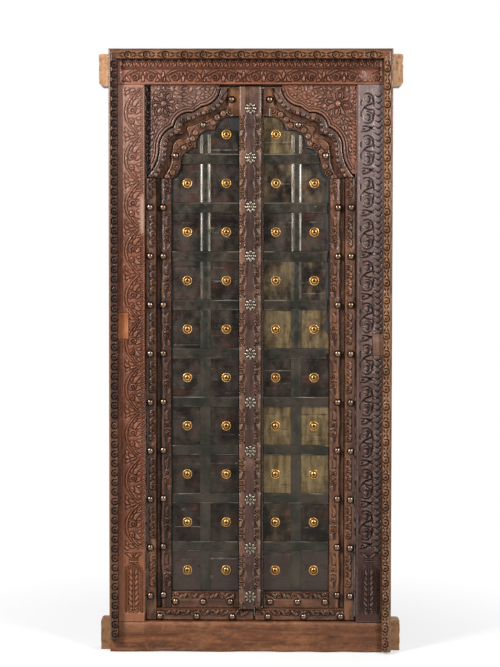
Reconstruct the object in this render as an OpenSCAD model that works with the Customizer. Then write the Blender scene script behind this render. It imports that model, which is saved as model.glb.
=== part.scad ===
// Carved wooden double door with its frame: two leaves on iron pivots under a cusped arch.
// The carved front faces -Y and +Z is up. The origin is the middle of the sill's underside.

/* [Frame] */
// Width over the two jambs
frame_w = 970; // [900:10:1080]
// Depth of jambs, head and sill, front to back
frame_d = 100; // [90:1:120]
// Width of one jamb, seen from the front
jamb_w = 120; // [110:1:140]
// Clear height from the sill to the head
door_h = 1853; // [1800:1:1950]
// Height of the sill
sill_h = 105; // [80:1:130]
// Height of the head beam
head_h = 110; // [100:1:130]
// How far a head horn runs past the jamb
head_horn = 40; // [20:1:60]
// How far a sill horn runs past the jamb
sill_horn = 37; // [20:1:60]
// Depth of the horns, at the back of their beams
horn_d = 62; // [40:1:80]
// Length of the chamfer under a head horn
horn_chamfer = 16; // [4:1:20]
// Length of a jamb tenon
tenon_len = 55; // [30:1:70]
// Thickness of a jamb tenon
tenon_t = 30; // [20:1:36]
// Shoulder beside a jamb tenon
tenon_shoulder = 22; // [15:1:30]

/* [Outer moulding] */
// Width of the side mouldings
moulding_w = 31; // [28:1:40]
// Height of the top moulding
top_moulding_h = 35; // [30:1:40]
// How far the mouldings stand out of the frame
moulding_d = 28; // [20:1:40]
// Width of the plain lip on the outer edge
lip_w = 6; // [4:1:10]
// How far the lip lies behind the carved face
lip_step = 5; // [2:1:8]
// How far the top moulding rises over the head
moulding_rise = 9; // [4:1:20]
// Height of the splice in the left moulding
left_splice_z = 806; // [500:1:1200]
// Height of the splice in the right moulding
right_splice_z = 640; // [500:1:1200]

/* [Leaves] */
// Setback of the planks from the frame's face
leaf_setback = 56; // [50:1:60]
// Thickness of the planks
plank_t = 30; // [26:1:34]
// Number of planks in a leaf
plank_count = 3; // [2:1:5]
// Clearance between a leaf and the jamb or sill
leaf_gap = 3; // [2:0.5:5]
// Clearance between a leaf and the head
head_gap = 5; // [3:0.5:8]
// Clearance between the centre post and the right leaf
meeting_gap = 4; // [4:0.5:6]
// Clearance between the lip on the post's back edge and the right leaf
lip_gap = 0.4; // [0.4:0.1:1]
// How far the right leaf's bands stay back from its last plank's edge
band_back = 2; // [2:0.5:4]
// Where the two bottom rails meet, right of the middle
meeting_x = 12; // [5:1:20]
// Width of the centre post
post_w = 78; // [70:1:90]
// How far the centre post stands out of the planks
post_t = 46; // [36:1:50]
// Bevel of the post's meeting edge, on the face and down the side
post_bevel_w = 5; // [4:1:8]
post_bevel_d = 16; // [14:1:20]
// Gap between the post's top and the head
post_top_gap = 12; // [6:1:20]
// Width of the outer stiles
outer_stile_w = 36; // [32:1:40]
// Thickness of the outer stiles, arches and rails
outer_band_t = 34; // [28:1:38]
// Width of the inner stiles
inner_stile_w = 51; // [44:1:56]
// Thickness of the inner stiles, arches and rails
inner_band_t = 16; // [12:1:22]
// Height of the outer bottom rail
outer_rail_h = 38; // [32:1:44]
// Height of the inner bottom rail
inner_rail_h = 56; // [44:1:60]
// Gap between bands that lie side by side
band_gap = 0.5; // [0.3:0.1:1]
// Height of a ledge on the back
ledge_h = 62; // [40:1:80]
// Thickness of a ledge
ledge_t = 22; // [16:1:26]
// Number of ledges on a leaf
ledge_count = 4; // [3:1:5]
// Distance from the hinge edge to a ledge
ledge_inset = 60; // [58:1:80]

/* [Arch] */
// Height of the arch from its springing to the head
arch_rise = 317; // [300:1:340]
// Half width of the arch's mouth at the head
crown_half_w = 106; // [96:1:116]
// Radius of the spandrel's lobe beside the mouth
crown_lobe_r = 72; // [64:1:78]
// Radius of the upper foil
shoulder_foil_r = 56; // [52:1:60]
// Radius of the lower foil
waist_foil_r = 78; // [72:1:82]
// Width of the outer arch band
arch_band_w = 25; // [20:1:28]
// Clearance between the spandrel and the leaf's arch
arch_gap = 4; // [3:0.5:6]
// Radii of the inner arch's foils, from the crown down
crown_inner_r = 55; // [50:1:58]
middle_inner_r = 50; // [46:1:54]
foot_inner_r = 52; // [48:1:54]
// Height of the splice in the inner arch above the springing
arch_splice = 100; // [80:1:130]
// Thickness of a spandrel
spandrel_t = 22; // [16:1:30]
// Setback of a spandrel from the frame's face
spandrel_setback = 14; // [10:1:20]

/* [Pivots] */
// Radius of the iron pivot pins
pin_r = 8; // [6:0.5:9]
// Depth of a pin in the sill or head
pin_in_frame = 40; // [25:1:50]
// Depth of a pin in the plank
pin_in_leaf = 110; // [60:1:160]
// Running clearance round a pin, on the radius
pin_clearance = 0.05; // [0.02:0.01:0.1]
// Wall of the pivot cups and bushes
cup_wall = 6; // [4:0.5:8]
// Floor of a pivot cup
cup_floor = 6; // [4:0.5:10]

/* [Ironwork] */
// Height of the highest cross strap above the arch's springing
last_strap = 68; // [40:1:80]
// Number of cross straps
strap_count = 9; // [8:1:9]
// Height of the lowest cross strap above the sill
first_strap = 256; // [240:1:270]
// Width of the straps
strap_w = 36; // [28:1:40]
// Thickness of the straps
strap_t = 4; // [2:0.5:5]
// Thickness of the sheet metal on the planks
sheet_t = 1.5; // [1:0.1:3]
// Gap between the sheet and the wooden bands
sheet_gap = 3; // [1:0.5:5]
// Radius of the brass bosses
boss_r = 17; // [15:0.5:22]
// Height of the brass bosses
boss_h = 11; // [9:0.5:14]
// Radius of the nail through a boss
boss_nail_r = 4; // [3:0.5:5]
// Shift of the bosses from the middle of their cells towards the post
boss_shift = 5; // [0:0.5:8]
// Radius of the iron studs
stud_r = 12.5; // [10:0.5:13]
// Height of the iron studs
stud_h = 11; // [8:0.5:13]
// Radius of the flower rosettes on the post
rosette_r = 20; // [14:0.5:22]
// Height of the flower rosettes
rosette_h = 7; // [5:0.5:10]
// Number of petals of a rosette
rosette_petals = 8; // [6:1:10]

/* [Carving] */
// Height of the carving over its ground
relief = 4; // [2:0.5:6]
// Distance between the scrolls of the mouldings
scroll_pitch = 63; // [56:1:70]
// Radius of a scroll ring
scroll_r = 9; // [7:0.5:10]
// Radius of the cord that a scroll ring is cut as
scroll_cord_r = 3; // [2:0.5:4]
// Height of one bay of the vine on the jambs
vine_pitch = 155; // [140:1:170]
// Width of the leaf row on jambs and head
leaf_row_w = 26; // [22:1:28]
// Distance between the leaves of a leaf row
leaf_row_pitch = 27; // [24:1:32]
// Width of one arch on the head
head_arch_pitch = 142; // [130:1:150]
// Width of a raised rib
rib_w = 6; // [4:0.5:8]
// Radius of a flower's ring of petals on the spandrels
flower_r = 42; // [34:1:46]
// Radius of a bead on stiles, rails and arches
bead_r = 5; // [4:0.5:6]
// Height of a carved foot panel on the jambs
foot_panel_h = 170; // [140:1:190]
// Height of the repair in the left jamb
left_patch_h = 90; // [60:1:120]
// Height of the repair in the right jamb
right_patch_h = 74; // [60:1:120]
// Width of the repairs
patch_w = 34; // [28:1:40]
// Depth of the repairs
patch_t = 8; // [6:1:12]

/* [Hidden] */
$fn = 48;
// Overrun of every cut, and bite of every raised form into its ground
over = 1;
// Clearance of parts that are only pushed together
fit = 0.3;
// Steps along a rounded meeting edge
edge_steps = 10;
// Feet of the side mouldings, as shares of the sill's height
left_foot_share = 0.48;
right_foot_share = 0.08;
// Main levels, from the floor up
head_z = sill_h + door_h;
frame_top_z = head_z + head_h;
moulding_top_z = frame_top_z + moulding_rise;
moulding_under_z = moulding_top_z - top_moulding_h;
left_foot_z = sill_h * left_foot_share;
right_foot_z = sill_h * right_foot_share;
spring_z = head_z - arch_rise;
leaf_foot_z = sill_h + leaf_gap;
leaf_top_z = head_z - head_gap;
outer_rail_top_z = leaf_foot_z + outer_rail_h;
inner_rail_z = outer_rail_top_z + band_gap;
panel_foot_z = inner_rail_z + inner_rail_h;
splice_z = spring_z + arch_splice;
post_foot_z = outer_rail_top_z + leaf_gap;
post_top_z = head_z - post_top_gap;
strap_z = sill_h + first_strap;
row_pitch = (spring_z + last_strap - strap_z) / (strap_count - 1);
// Main half widths, from the middle out
half_w = frame_w / 2;
half_open = half_w - jamb_w;
moulding_in = half_w - moulding_w;
leaf_edge = half_open - leaf_gap;
outer_stile_in = leaf_edge - outer_stile_w;
inner_stile_out = outer_stile_in - band_gap;
panel_half = inner_stile_out - inner_stile_w;
post_half = post_w / 2;
left_meet = post_half + band_gap;
right_meet = post_half + meeting_gap;
// Main depths, from the front back
face_y = -frame_d / 2;
back_y = frame_d / 2;
plank_y = face_y + leaf_setback;
plank_back_y = plank_y + plank_t;
sheet_y = plank_y - sheet_t;
outer_band_y = plank_y - outer_band_t;
inner_band_y = plank_y - inner_band_t;
post_y = plank_y - post_t;
spandrel_y = face_y + spandrel_setback;
// Pivot axis: as far from the hinge edge as from the plank's back
heel_r = plank_t / 2;
pivot_x = leaf_edge - heel_r;
pivot_y = plank_y + heel_r;
bore_r = pin_r + pin_clearance;
cup_r = bore_r + cup_wall;
// Cusped arch of the spandrels: foils that bulge out, and two lobes that bulge in
waist_shares = [0.6575, 0.328];
shoulder_shares = [0.581, 0.536];
waist_c = [-waist_shares[0] * half_open, spring_z + waist_shares[1] * arch_rise];
shoulder_c = [-shoulder_shares[0] * half_open, spring_z + shoulder_shares[1] * arch_rise];
crown_c = [-crown_half_w - crown_lobe_r, head_z];
shoulder_angle = 80;
crown_angle = -85;
// Inner arch: three foils, from the crown down
crown_inner_shares = [0.192, 0.502];
middle_inner_shares = [0.384, 0.375];
foot_inner_shares = [0.52, 0.17];
crown_inner_c = [-crown_inner_shares[0] * half_open, spring_z + crown_inner_shares[1] * arch_rise];
middle_inner_c = [-middle_inner_shares[0] * half_open, spring_z + middle_inner_shares[1] * arch_rise];
foot_inner_c = [-foot_inner_shares[0] * half_open, spring_z + foot_inner_shares[1] * arch_rise];
// Studs of the inner arch, as shares of the half opening and of the rise
arch_stud_shares = [[0.18, 0.855], [0.45, 0.578], [0.71, 0.245]];
// Places of the studs along the bottom rails, as shares of the half opening
outer_rail_stud_shares = [0.86, 0.51, 0.17];
inner_rail_stud_shares = [0.715, 0.45, 0.19];
// Share of the bands' widths at which their studs and beads lie
outer_stud_share = 0.42;
outer_bead_share = 0.8;
inner_stud_share = 0.45;
inner_bead_share = 0.86;
// Spandrel flower, as shares of the half opening and of the rise
flower_shares = [0.82, 0.8];
flower_petals = 8;
// Repairs in the jambs, as shares of the clear height
left_patch_share = 0.53;
right_patch_share = 0.5;
// Heights of the ledges, as shares of the clear height
ledge_low_share = 0.1;
ledge_high_share = 0.84;

// Unit vector at an angle
function dir(angle) = [cos(angle), sin(angle)];

// A plate whose outline is drawn from the front, X across and Y up; its back is at back
module plate(back, thick) {
    translate([0, back, 0])
        rotate([90, 0, 0])
            linear_extrude(thick) children();
}

// Carving raised from a ground at y, biting into it
module raised(y, height = relief) {
    plate(y + over, height + over) children();
}

// A box drawn from the front, from one corner to the other
module front_box(x0, x1, z0, z1) {
    translate([x0, z0]) square([x1 - x0, z1 - z0]);
}

// A pointed leaf along +Y from the origin
module leaf(length, width) {
    bow_r = (length * length + width * width) / (4 * width);
    intersection() {
        translate([width / 2 - bow_r, length / 2]) circle(bow_r);
        translate([bow_r - width / 2, length / 2]) circle(bow_r);
    }
}

module ring(r, width) {
    difference() {
        circle(r);
        circle(r - width);
    }
}

// A new-moon leaf that curls to the left
module moon(r) {
    difference() {
        circle(r);
        translate([-r / 2, r / 4]) circle(r * 0.85);
    }
}

// A round cord bent into a ring on a ground at y, with a bead in its eye
module scroll(x, y, z, r, cord_r) {
    translate([x, y, z])
        rotate([90, 0, 0]) {
            rotate_extrude() translate([r, 0]) circle(cord_r, $fn = 24);
            sphere(cord_r, $fn = 24);
        }
}

module bead(x, y, z, r = bead_r) {
    translate([x, y, z]) sphere(r, $fn = 24);
}

// Frame

module beam_plan(horn) {
    translate([-half_w, face_y]) square([frame_w, frame_d]);
    translate([-half_w - horn, back_y - horn_d]) square([frame_w + 2 * horn, horn_d]);
}

// Tenon or mortise of a jamb: its place from the front, grown by clearance
module tenon(side, z0, z1, clearance) {
    tenon_w = jamb_w - 2 * tenon_shoulder;
    translate([0, tenon_t / 2 + clearance, 0])
        rotate([90, 0, 0])
            linear_extrude(tenon_t + 2 * clearance)
                translate([side * (half_w - jamb_w / 2) - tenon_w / 2 - clearance, z0])
                    square([tenon_w + 2 * clearance, z1 - z0]);
}

module pivot_seat(side, z0, z1) {
    translate([side * pivot_x, pivot_y, z0]) cylinder(r = cup_r, h = z1 - z0);
}

module sill() {
    color("#8a5a36") difference() {
        linear_extrude(sill_h) beam_plan(sill_horn);
        for (side = [-1, 1]) {
            tenon(side, sill_h - tenon_len - fit, sill_h + over, fit);
            pivot_seat(side, sill_h - pin_in_frame - cup_floor, sill_h + over);
        }
    }
}

// Row of new-moon leaves along X, from the first point on, in a strip of the given width
module leaf_row(length, width) {
    count = floor(length / leaf_row_pitch);
    step = length / count;
    for (i = [0 : count - 1])
        translate([step * (i + 0.5), width / 2]) moon(width * 0.42);
}

// One arch of the head's frieze, centred on X: a rib, two curls and a pointed leaf
module head_arch(height) {
    arch_r = head_arch_pitch * 0.46;
    curl_r = arch_r * 0.26;
    intersection() {
        translate([0, height - arch_r]) ring(arch_r, rib_w);
        front_box(-arch_r, arch_r, 0, height);
    }
    for (side = [-1, 1]) {
        translate([side * arch_r * 0.48, height * 0.42]) ring(curl_r, rib_w * 0.7);
        translate([side * arch_r * 0.14, 0]) rotate(-side * 24) leaf(height * 0.6, rib_w * 1.6);
        translate([side * arch_r * 0.8, 0]) rotate(side * 14) leaf(height * 0.45, rib_w * 1.4);
    }
    leaf(height * 0.72, rib_w * 1.8);
}

module head() {
    face_h = moulding_under_z - head_z;
    frieze_h = face_h - leaf_row_w - rib_w;
    frieze_w = 2 * moulding_in;
    count = floor(frieze_w / head_arch_pitch);
    step = frieze_w / count;
    color("#6b3a22") difference() {
        union() {
            difference() {
                translate([0, 0, head_z]) linear_extrude(head_h) beam_plan(head_horn);
                for (side = [-1, 1])
                    translate([side * (half_w + head_horn), 0, head_z])
                        rotate([0, 45, 0])
                            cube([horn_chamfer, frame_d + 2 * over, horn_chamfer], center = true);
            }
            raised(face_y) {
                front_box(-moulding_in, moulding_in, head_z, head_z + rib_w);
                translate([-moulding_in, moulding_under_z - leaf_row_w]) leaf_row(frieze_w, leaf_row_w);
                for (i = [0 : count - 1])
                    translate([-moulding_in + step * (i + 0.5), head_z + rib_w - over])
                        head_arch(frieze_h);
            }
        }
        for (side = [-1, 1]) {
            tenon(side, head_z - over, head_z + tenon_len + fit, fit);
            pivot_seat(side, head_z - over, head_z + pin_in_frame);
        }
    }
}

// One bay of the jamb's vine, in a strip of the given width: a bowed stem with a fan of leaves
module vine_bay(width) {
    bow_r = vine_pitch * 0.46;
    bow_x = bow_r + rib_w / 2;
    fan_x = width - rib_w;
    intersection() {
        translate([bow_x, vine_pitch / 2]) ring(bow_r, rib_w);
        front_box(0, width * 0.8, 0, vine_pitch);
    }
    for (angle = [-50, -18, 18, 50])
        translate([fan_x, vine_pitch * 0.42]) rotate(90 + angle) leaf(width * 0.62, rib_w * 1.9);
    translate([width * 0.66, vine_pitch * 0.78]) ring(width * 0.17, rib_w * 0.7);
    translate([width * 0.66, vine_pitch * 0.12]) ring(width * 0.13, rib_w * 0.7);
}

// Carved panel at the foot of a jamb, with an arched border round a spray of leaves
module foot_panel(width) {
    border_w = width * 0.74;
    stem_h = foot_panel_h - border_w;
    translate([width / 2, 0]) {
        difference() {
            union() {
                front_box(-border_w / 2, border_w / 2, 0, stem_h);
                translate([0, stem_h]) circle(border_w / 2);
            }
            union() {
                front_box(rib_w - border_w / 2, border_w / 2 - rib_w, rib_w, stem_h);
                translate([0, stem_h]) circle(border_w / 2 - rib_w);
            }
        }
        for (tier = [0.12, 0.38, 0.64])
            for (angle = [-32, 0, 32])
                translate([0, stem_h * tier]) rotate(angle) leaf(stem_h * 0.34, rib_w * 1.7);
    }
}

// The carving of the left jamb's face, drawn from the front
module jamb_carving() {
    face_w = jamb_w - moulding_w;
    vine_w = face_w - leaf_row_w;
    foot_z = sill_h + rib_w * 4;
    vine_z = foot_z + foot_panel_h + rib_w * 2;
    vine_h = head_z - vine_z - rib_w;
    bays = floor(vine_h / vine_pitch);
    step = vine_h / bays;
    translate([-moulding_in, vine_z]) rotate(90) translate([0, -leaf_row_w]) leaf_row(vine_h, leaf_row_w);
    for (i = [0 : bays - 1])
        translate([-moulding_in + leaf_row_w, vine_z + step * i]) vine_bay(vine_w - rib_w);
    translate([-moulding_in, foot_z]) foot_panel(face_w);
    front_box(-half_open - rib_w, -half_open, sill_h, head_z);
}

// Outline of a jamb's repair, grown by clearance
module patch_outline(share, height, clearance) {
    z0 = sill_h + door_h * share;
    x0 = -moulding_in;
    front_box(x0 - clearance, x0 + patch_w + clearance, z0 - clearance, z0 + height + clearance);
}

module jamb(share, height) {
    difference() {
        union() {
            plate(back_y, frame_d) front_box(-half_w, -half_open, sill_h, head_z);
            tenon(-1, sill_h - tenon_len, sill_h + over, 0);
            tenon(-1, head_z - over, head_z + tenon_len, 0);
            raised(face_y) jamb_carving();
        }
        plate(face_y + patch_t, patch_t + relief + over) patch_outline(share, height, fit);
    }
}

module left_jamb() {
    color("#7a4026") jamb(left_patch_share, left_patch_h);
}

module right_jamb() {
    color("#57352a") mirror([1, 0, 0]) jamb(right_patch_share, right_patch_h);
}

module left_jamb_patch() {
    color("#a0602f")
        plate(face_y + patch_t, patch_t + relief / 2) patch_outline(left_patch_share, left_patch_h, 0);
}

module right_jamb_patch() {
    color("#6a4130") mirror([1, 0, 0])
        plate(face_y + patch_t, patch_t + relief / 2) patch_outline(right_patch_share, right_patch_h, 0);
}

// Running scroll of the mouldings along X, centred on Z, raised from y
module scroll_row(length, y) {
    count = floor(length / scroll_pitch);
    step = length / count;
    for (i = [0 : count - 1]) scroll(step * (i + 0.5), y, 0, scroll_r, scroll_cord_r);
    raised(y, scroll_cord_r)
        for (i = [0 : count - 1], side = [-1, 1])
            translate([step * (i + 0.5) + side * (scroll_r + 2 * scroll_cord_r), 0])
                rotate(-90 * side - 24) translate([0, -rib_w]) leaf(scroll_pitch * 0.34, rib_w * 1.3);
}

// A moulding strip: its outline from the front, and the lip along its outer edge cut back
module moulding_strip() {
    difference() {
        plate(face_y, moulding_d) children(0);
        plate(face_y - moulding_d + lip_step, lip_step + over) children(1);
    }
}

module top_moulding() {
    z0 = moulding_under_z;
    z1 = moulding_top_z;
    carved_w = top_moulding_h - lip_w;
    color("#7d5530") {
        moulding_strip() {
            polygon([[-half_w, z1], [half_w, z1], [moulding_in, z0], [-moulding_in, z0]]);
            front_box(-half_w - over, half_w + over, z1 - lip_w, z1 + over);
        }
        translate([-moulding_in, 0, z0 + carved_w / 2]) scroll_row(2 * moulding_in, face_y - moulding_d);
    }
}

// A length of the left moulding from z0 to z1, mitred at the top where asked
module side_moulding(z0, z1, mitred) {
    carved_w = moulding_w - lip_w;
    inner_z1 = mitred ? z1 - top_moulding_h : z1;
    moulding_strip() {
        polygon([[-half_w, z0], [-moulding_in, z0], [-moulding_in, inner_z1], [-half_w, z1]]);
        front_box(-half_w - over, -half_w + lip_w, z0 - over, z1 + over);
    }
    translate([-moulding_in - carved_w / 2, 0, z0])
        rotate([0, -90, 0]) scroll_row(inner_z1 - z0, face_y - moulding_d);
}

module left_moulding_upper() {
    color("#4a2e22") side_moulding(left_splice_z + fit, moulding_top_z, true);
}

module left_moulding_lower() {
    color("#553626") side_moulding(left_foot_z, left_splice_z, false);
}

module right_moulding_upper() {
    color("#6d4630") mirror([1, 0, 0]) side_moulding(right_splice_z + fit, moulding_top_z, true);
}

module right_moulding_lower() {
    color("#7b5133") mirror([1, 0, 0]) side_moulding(right_foot_z, right_splice_z, false);
}

// Arch

// Ogee at the foot of an arch: a circle that touches the foil's side and meets the stile at the springing
module foot_lobe(foil_c, foil_r, wall_x, inset) {
    run = foil_c[0] - foil_r + wall_x;
    rise = foil_c[1] - spring_z;
    lobe_r = (run * run + rise * rise) / (2 * run);
    translate([foil_c[0] - foil_r - lobe_r, foil_c[1]]) circle(lobe_r + inset);
}

// Left half of the space under the spandrel, inset from the spandrel's edge
module arch_field(inset) {
    shoulder_p = shoulder_c + (shoulder_foil_r - inset) * dir(shoulder_angle);
    crown_p = crown_c + (crown_lobe_r + inset) * dir(crown_angle);
    difference() {
        union() {
            polygon([
                [0, spring_z], [0, head_z], [-crown_half_w + inset, head_z], crown_p, shoulder_p, shoulder_c,
                waist_c, [-half_open + inset, waist_c[1]], [-half_open + inset, spring_z]
            ]);
            translate(waist_c) circle(waist_foil_r - inset);
            translate(shoulder_c) circle(shoulder_foil_r - inset);
        }
        foot_lobe(waist_c, waist_foil_r, half_open, inset);
        translate(crown_c) circle(crown_lobe_r + inset);
        front_box(-half_w, half_w, sill_h, spring_z);
    }
}

// Left half of the panel inside the inner arch and stiles, inset from their edges
module panel_field(inset) {
    top_z = crown_inner_c[1] + crown_inner_r - inset;
    foot_z = panel_foot_z + inset;
    wall_x = -panel_half + inset;
    difference() {
        union() {
            polygon([
                [0, foot_z], [0, top_z], [crown_inner_c[0], top_z], crown_inner_c, middle_inner_c,
                foot_inner_c, [wall_x, foot_inner_c[1]], [wall_x, foot_z]
            ]);
            translate(foot_inner_c) circle(foot_inner_r - inset);
            translate(middle_inner_c) circle(middle_inner_r - inset);
            translate(crown_inner_c) circle(crown_inner_r - inset);
        }
        intersection() {
            foot_lobe(foot_inner_c, foot_inner_r, panel_half, inset);
            front_box(-half_w, half_w, spring_z, head_z);
        }
    }
}

module flower(r) {
    petal_r = r * 0.3;
    for (i = [0 : flower_petals - 1])
        rotate(360 * i / flower_petals) translate([r * 0.66, 0]) circle(petal_r);
}

// Left spandrel: the corner board that the arch is cut into, with a border along the cusps
module spandrel() {
    border = arch_band_w;
    flower_c = [-flower_shares[0] * half_open, spring_z + flower_shares[1] * arch_rise];
    plate(spandrel_y + spandrel_t, spandrel_t) difference() {
        front_box(-half_open, -crown_half_w, spring_z, head_z);
        arch_field(0);
    }
    raised(spandrel_y, relief / 2) difference() {
        front_box(-half_open, -crown_half_w - rib_w, spring_z + border, head_z);
        arch_field(-rib_w);
        difference() {
            front_box(-half_w, 0, spring_z, head_z + over);
            arch_field(-border);
        }
    }
    raised(spandrel_y) translate(flower_c) flower(flower_r);
    bead(flower_c[0], spandrel_y - relief, flower_c[1], flower_r * 0.24);
    raised(spandrel_y) {
        for (angle = [-106, -80])
            translate(flower_c + flower_r * dir(angle)) rotate(angle - 90) leaf(flower_r, rib_w * 2);
        for (angle = [4, -20])
            translate(flower_c + flower_r * dir(angle)) rotate(angle - 90) leaf(flower_r * 1.3, rib_w * 2);
    }
}

module left_spandrel() {
    color("#6e3f28") spandrel();
}

module right_spandrel() {
    color("#74422c") mirror([1, 0, 0]) spandrel();
}

// Pivots

module pivot_cup() {
    cup_z = sill_h - pin_in_frame - cup_floor;
    translate([-pivot_x, pivot_y, cup_z]) difference() {
        cylinder(r = cup_r - fit, h = pin_in_frame + cup_floor);
        translate([0, 0, cup_floor]) cylinder(r = bore_r, h = pin_in_frame + over);
    }
}

module head_bush() {
    translate([-pivot_x, pivot_y, head_z]) difference() {
        cylinder(r = cup_r - fit, h = pin_in_frame - fit);
        translate([0, 0, -over]) cylinder(r = bore_r, h = pin_in_frame + over);
    }
}

module pin(z0, z1) {
    translate([-pivot_x, pivot_y, z0]) cylinder(r = pin_r, h = z1 - z0);
}

module left_pivot_cup() { color("#3a3632") pivot_cup(); }
module right_pivot_cup() { color("#3a3632") mirror([1, 0, 0]) pivot_cup(); }
module left_head_bush() { color("#3a3632") head_bush(); }
module right_head_bush() { color("#3a3632") mirror([1, 0, 0]) head_bush(); }

module lower_pivot() { pin(sill_h - pin_in_frame, leaf_foot_z + pin_in_leaf); }
module upper_pivot() { pin(leaf_top_z - pin_in_leaf, head_z + pin_in_frame - 2 * fit); }

module left_upper_pivot() { color("#45403b") upper_pivot(); }
module left_lower_pivot() { color("#45403b") lower_pivot(); }
module right_upper_pivot() { color("#45403b") mirror([1, 0, 0]) upper_pivot(); }
module right_lower_pivot() { color("#45403b") mirror([1, 0, 0]) lower_pivot(); }

// Leaf, drawn as the left one; meet is the distance from the middle to its last plank's edge

// A meeting edge seen from above, rounded about the leaf's own pivots; far_x is its furthest place
function swing_edge(far_x, y0, y1) = [
    for (i = [0 : edge_steps])
        let (y = y0 + (y1 - y0) * i / edge_steps)
            [sqrt(pow(pivot_x + far_x, 2) - pow(y - pivot_y, 2)) - pivot_x, y]
];

// Plank number i: the first one carries the pivots and has a round heel, the last one a rounded edge
module plank(i, meet) {
    pitch = (leaf_edge - meet) / plank_count;
    x0 = -leaf_edge + pitch * (i - 1);
    x1 = x0 + pitch - (i < plank_count ? band_gap : 0);
    plank_h = leaf_top_z - leaf_foot_z;
    difference() {
        translate([0, 0, leaf_foot_z]) linear_extrude(plank_h)
            if (i == 1) {
                translate([x0, plank_y]) square([x1 - x0, heel_r]);
                translate([-pivot_x, plank_y]) square([x1 + pivot_x, plank_t]);
                translate([-pivot_x, pivot_y]) circle(heel_r);
            } else if (i == plank_count) {
                polygon(concat(
                    [[x0, plank_back_y], [x0, plank_y]], swing_edge(x1, plank_y, plank_back_y)
                ));
            } else {
                translate([x0, plank_y]) square([x1 - x0, plank_t]);
            }
        if (i == 1) {
            for (z0 = [leaf_foot_z - over, leaf_top_z - pin_in_leaf])
                translate([-pivot_x, pivot_y, z0]) cylinder(r = bore_r, h = pin_in_leaf + over);
        }
    }
}

// What shows of the leaf between the inner bands and the post
module leaf_panel(inset, meet) {
    difference() {
        panel_field(inset);
        front_box(-meet - inset, over, sill_h, head_z);
    }
}

module cladding(meet) {
    color("#4b4a42") plate(plank_y, sheet_t) leaf_panel(sheet_gap, meet);
}

module cross_straps(meet) {
    color("#3d423d") plate(sheet_y, strap_t)
        intersection() {
            leaf_panel(sheet_gap, meet);
            for (i = [0 : strap_count - 1])
                translate([-half_open, strap_z + row_pitch * i - strap_w / 2]) square([half_open, strap_w]);
        }
}

// Middle of the visible panel, where the upright strap runs
function panel_mid(meet) = -(panel_half + meet) / 2;

module upright_straps(meet) {
    strap_x = panel_mid(meet);
    color("#40463f") plate(sheet_y, strap_t - over)
        intersection() {
            leaf_panel(sheet_gap, meet);
            for (i = [0 : strap_count])
                translate([strap_x - strap_w / 2, strap_z + row_pitch * (i - 1) + strap_w / 2 + fit])
                    square([strap_w, row_pitch - strap_w - 2 * fit]);
        }
}

// Boss places: two in each row of cells, one in the crown
module at_bosses(meet) {
    strap_x = panel_mid(meet);
    outer_x = (strap_x - strap_w / 2 - panel_half) / 2 + boss_shift;
    inner_x = (strap_x + strap_w / 2 - meet) / 2 + boss_shift;
    for (i = [0 : strap_count], x = i < strap_count ? [outer_x, inner_x] : [inner_x])
        translate([x, sheet_y, strap_z + row_pitch * (i - 0.5)]) rotate([90, 0, 0]) children();
}

// A spun boss: a beaded rim, a hollow and a dome with a seat for its nail
module boss() {
    rim_r = boss_r * 0.16;
    rotate_extrude() difference() {
        union() {
            square([boss_r - rim_r, boss_h * 0.3]);
            translate([boss_r - rim_r, 0]) intersection() {
                circle(rim_r, $fn = 24);
                translate([-rim_r, 0]) square([2 * rim_r, rim_r]);
            }
            intersection() {
                translate([0, boss_h - boss_r * 0.62]) circle(boss_r * 0.62);
                square([boss_r, boss_h]);
            }
        }
        translate([0, -over]) square([boss_nail_r * 0.5, boss_h + 2 * over]);
    }
}

module boss_nail() {
    shank_r = boss_nail_r * 0.5 - fit / 2;
    cylinder(r = shank_r, h = boss_h);
    translate([0, 0, boss_h]) intersection() {
        sphere(boss_nail_r, $fn = 24);
        translate([0, 0, boss_nail_r / 2]) cube(boss_nail_r * [2, 2, 1], center = true);
    }
}

module bosses(meet) { color("#b58a3a") at_bosses(meet) boss(); }
module boss_nails(meet) { color("#2b2420") at_bosses(meet) boss_nail(); }

// Carved group of beads between two studs, along Z from z0 to z1
module bead_run(x, y, z0, z1) {
    count = floor((z1 - z0) / (bead_r * 3.4));
    step = (z1 - z0) / count;
    for (i = [0 : count - 1])
        if (i % 3 == 0) scroll(x, y, z0 + step * (i + 0.5), bead_r * 0.8, bead_r * 0.36);
        else bead(x, y, z0 + step * (i + 0.5), bead_r * 0.8);
}

// Bead runs in the bays between the studs, from the foot to the springing
module bead_column(x, y) {
    for (i = [0 : strap_count - 2])
        bead_run(x, y, strap_z + row_pitch * (i - 1) + stud_r * 1.6, strap_z + row_pitch * i - stud_r * 1.6);
}

module outer_stile() {
    color("#5b3626") {
        plate(plank_y, outer_band_t) front_box(-leaf_edge, -outer_stile_in, leaf_foot_z, spring_z - fit);
        bead_column(-leaf_edge + outer_stile_w * outer_bead_share, outer_band_y);
    }
}

module inner_stile() {
    color("#523126") {
        plate(plank_y, inner_band_t) front_box(-inner_stile_out, -panel_half, inner_rail_z, spring_z - fit);
        bead_column(-inner_stile_out + inner_stile_w * inner_bead_share, inner_band_y);
    }
}

// Beads along a foil's arc, from one angle to another, inset from the foil
module foil_beads(c, r, inset, from, to, y) {
    count = floor((r - inset) * abs(to - from) * PI / 180 / (bead_r * 2.6));
    for (i = [0 : count]) {
        p = c + (r - inset) * dir(from + (to - from) * i / max(count, 1));
        bead(p[0], y, p[1], bead_r * 0.8);
    }
}

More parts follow.
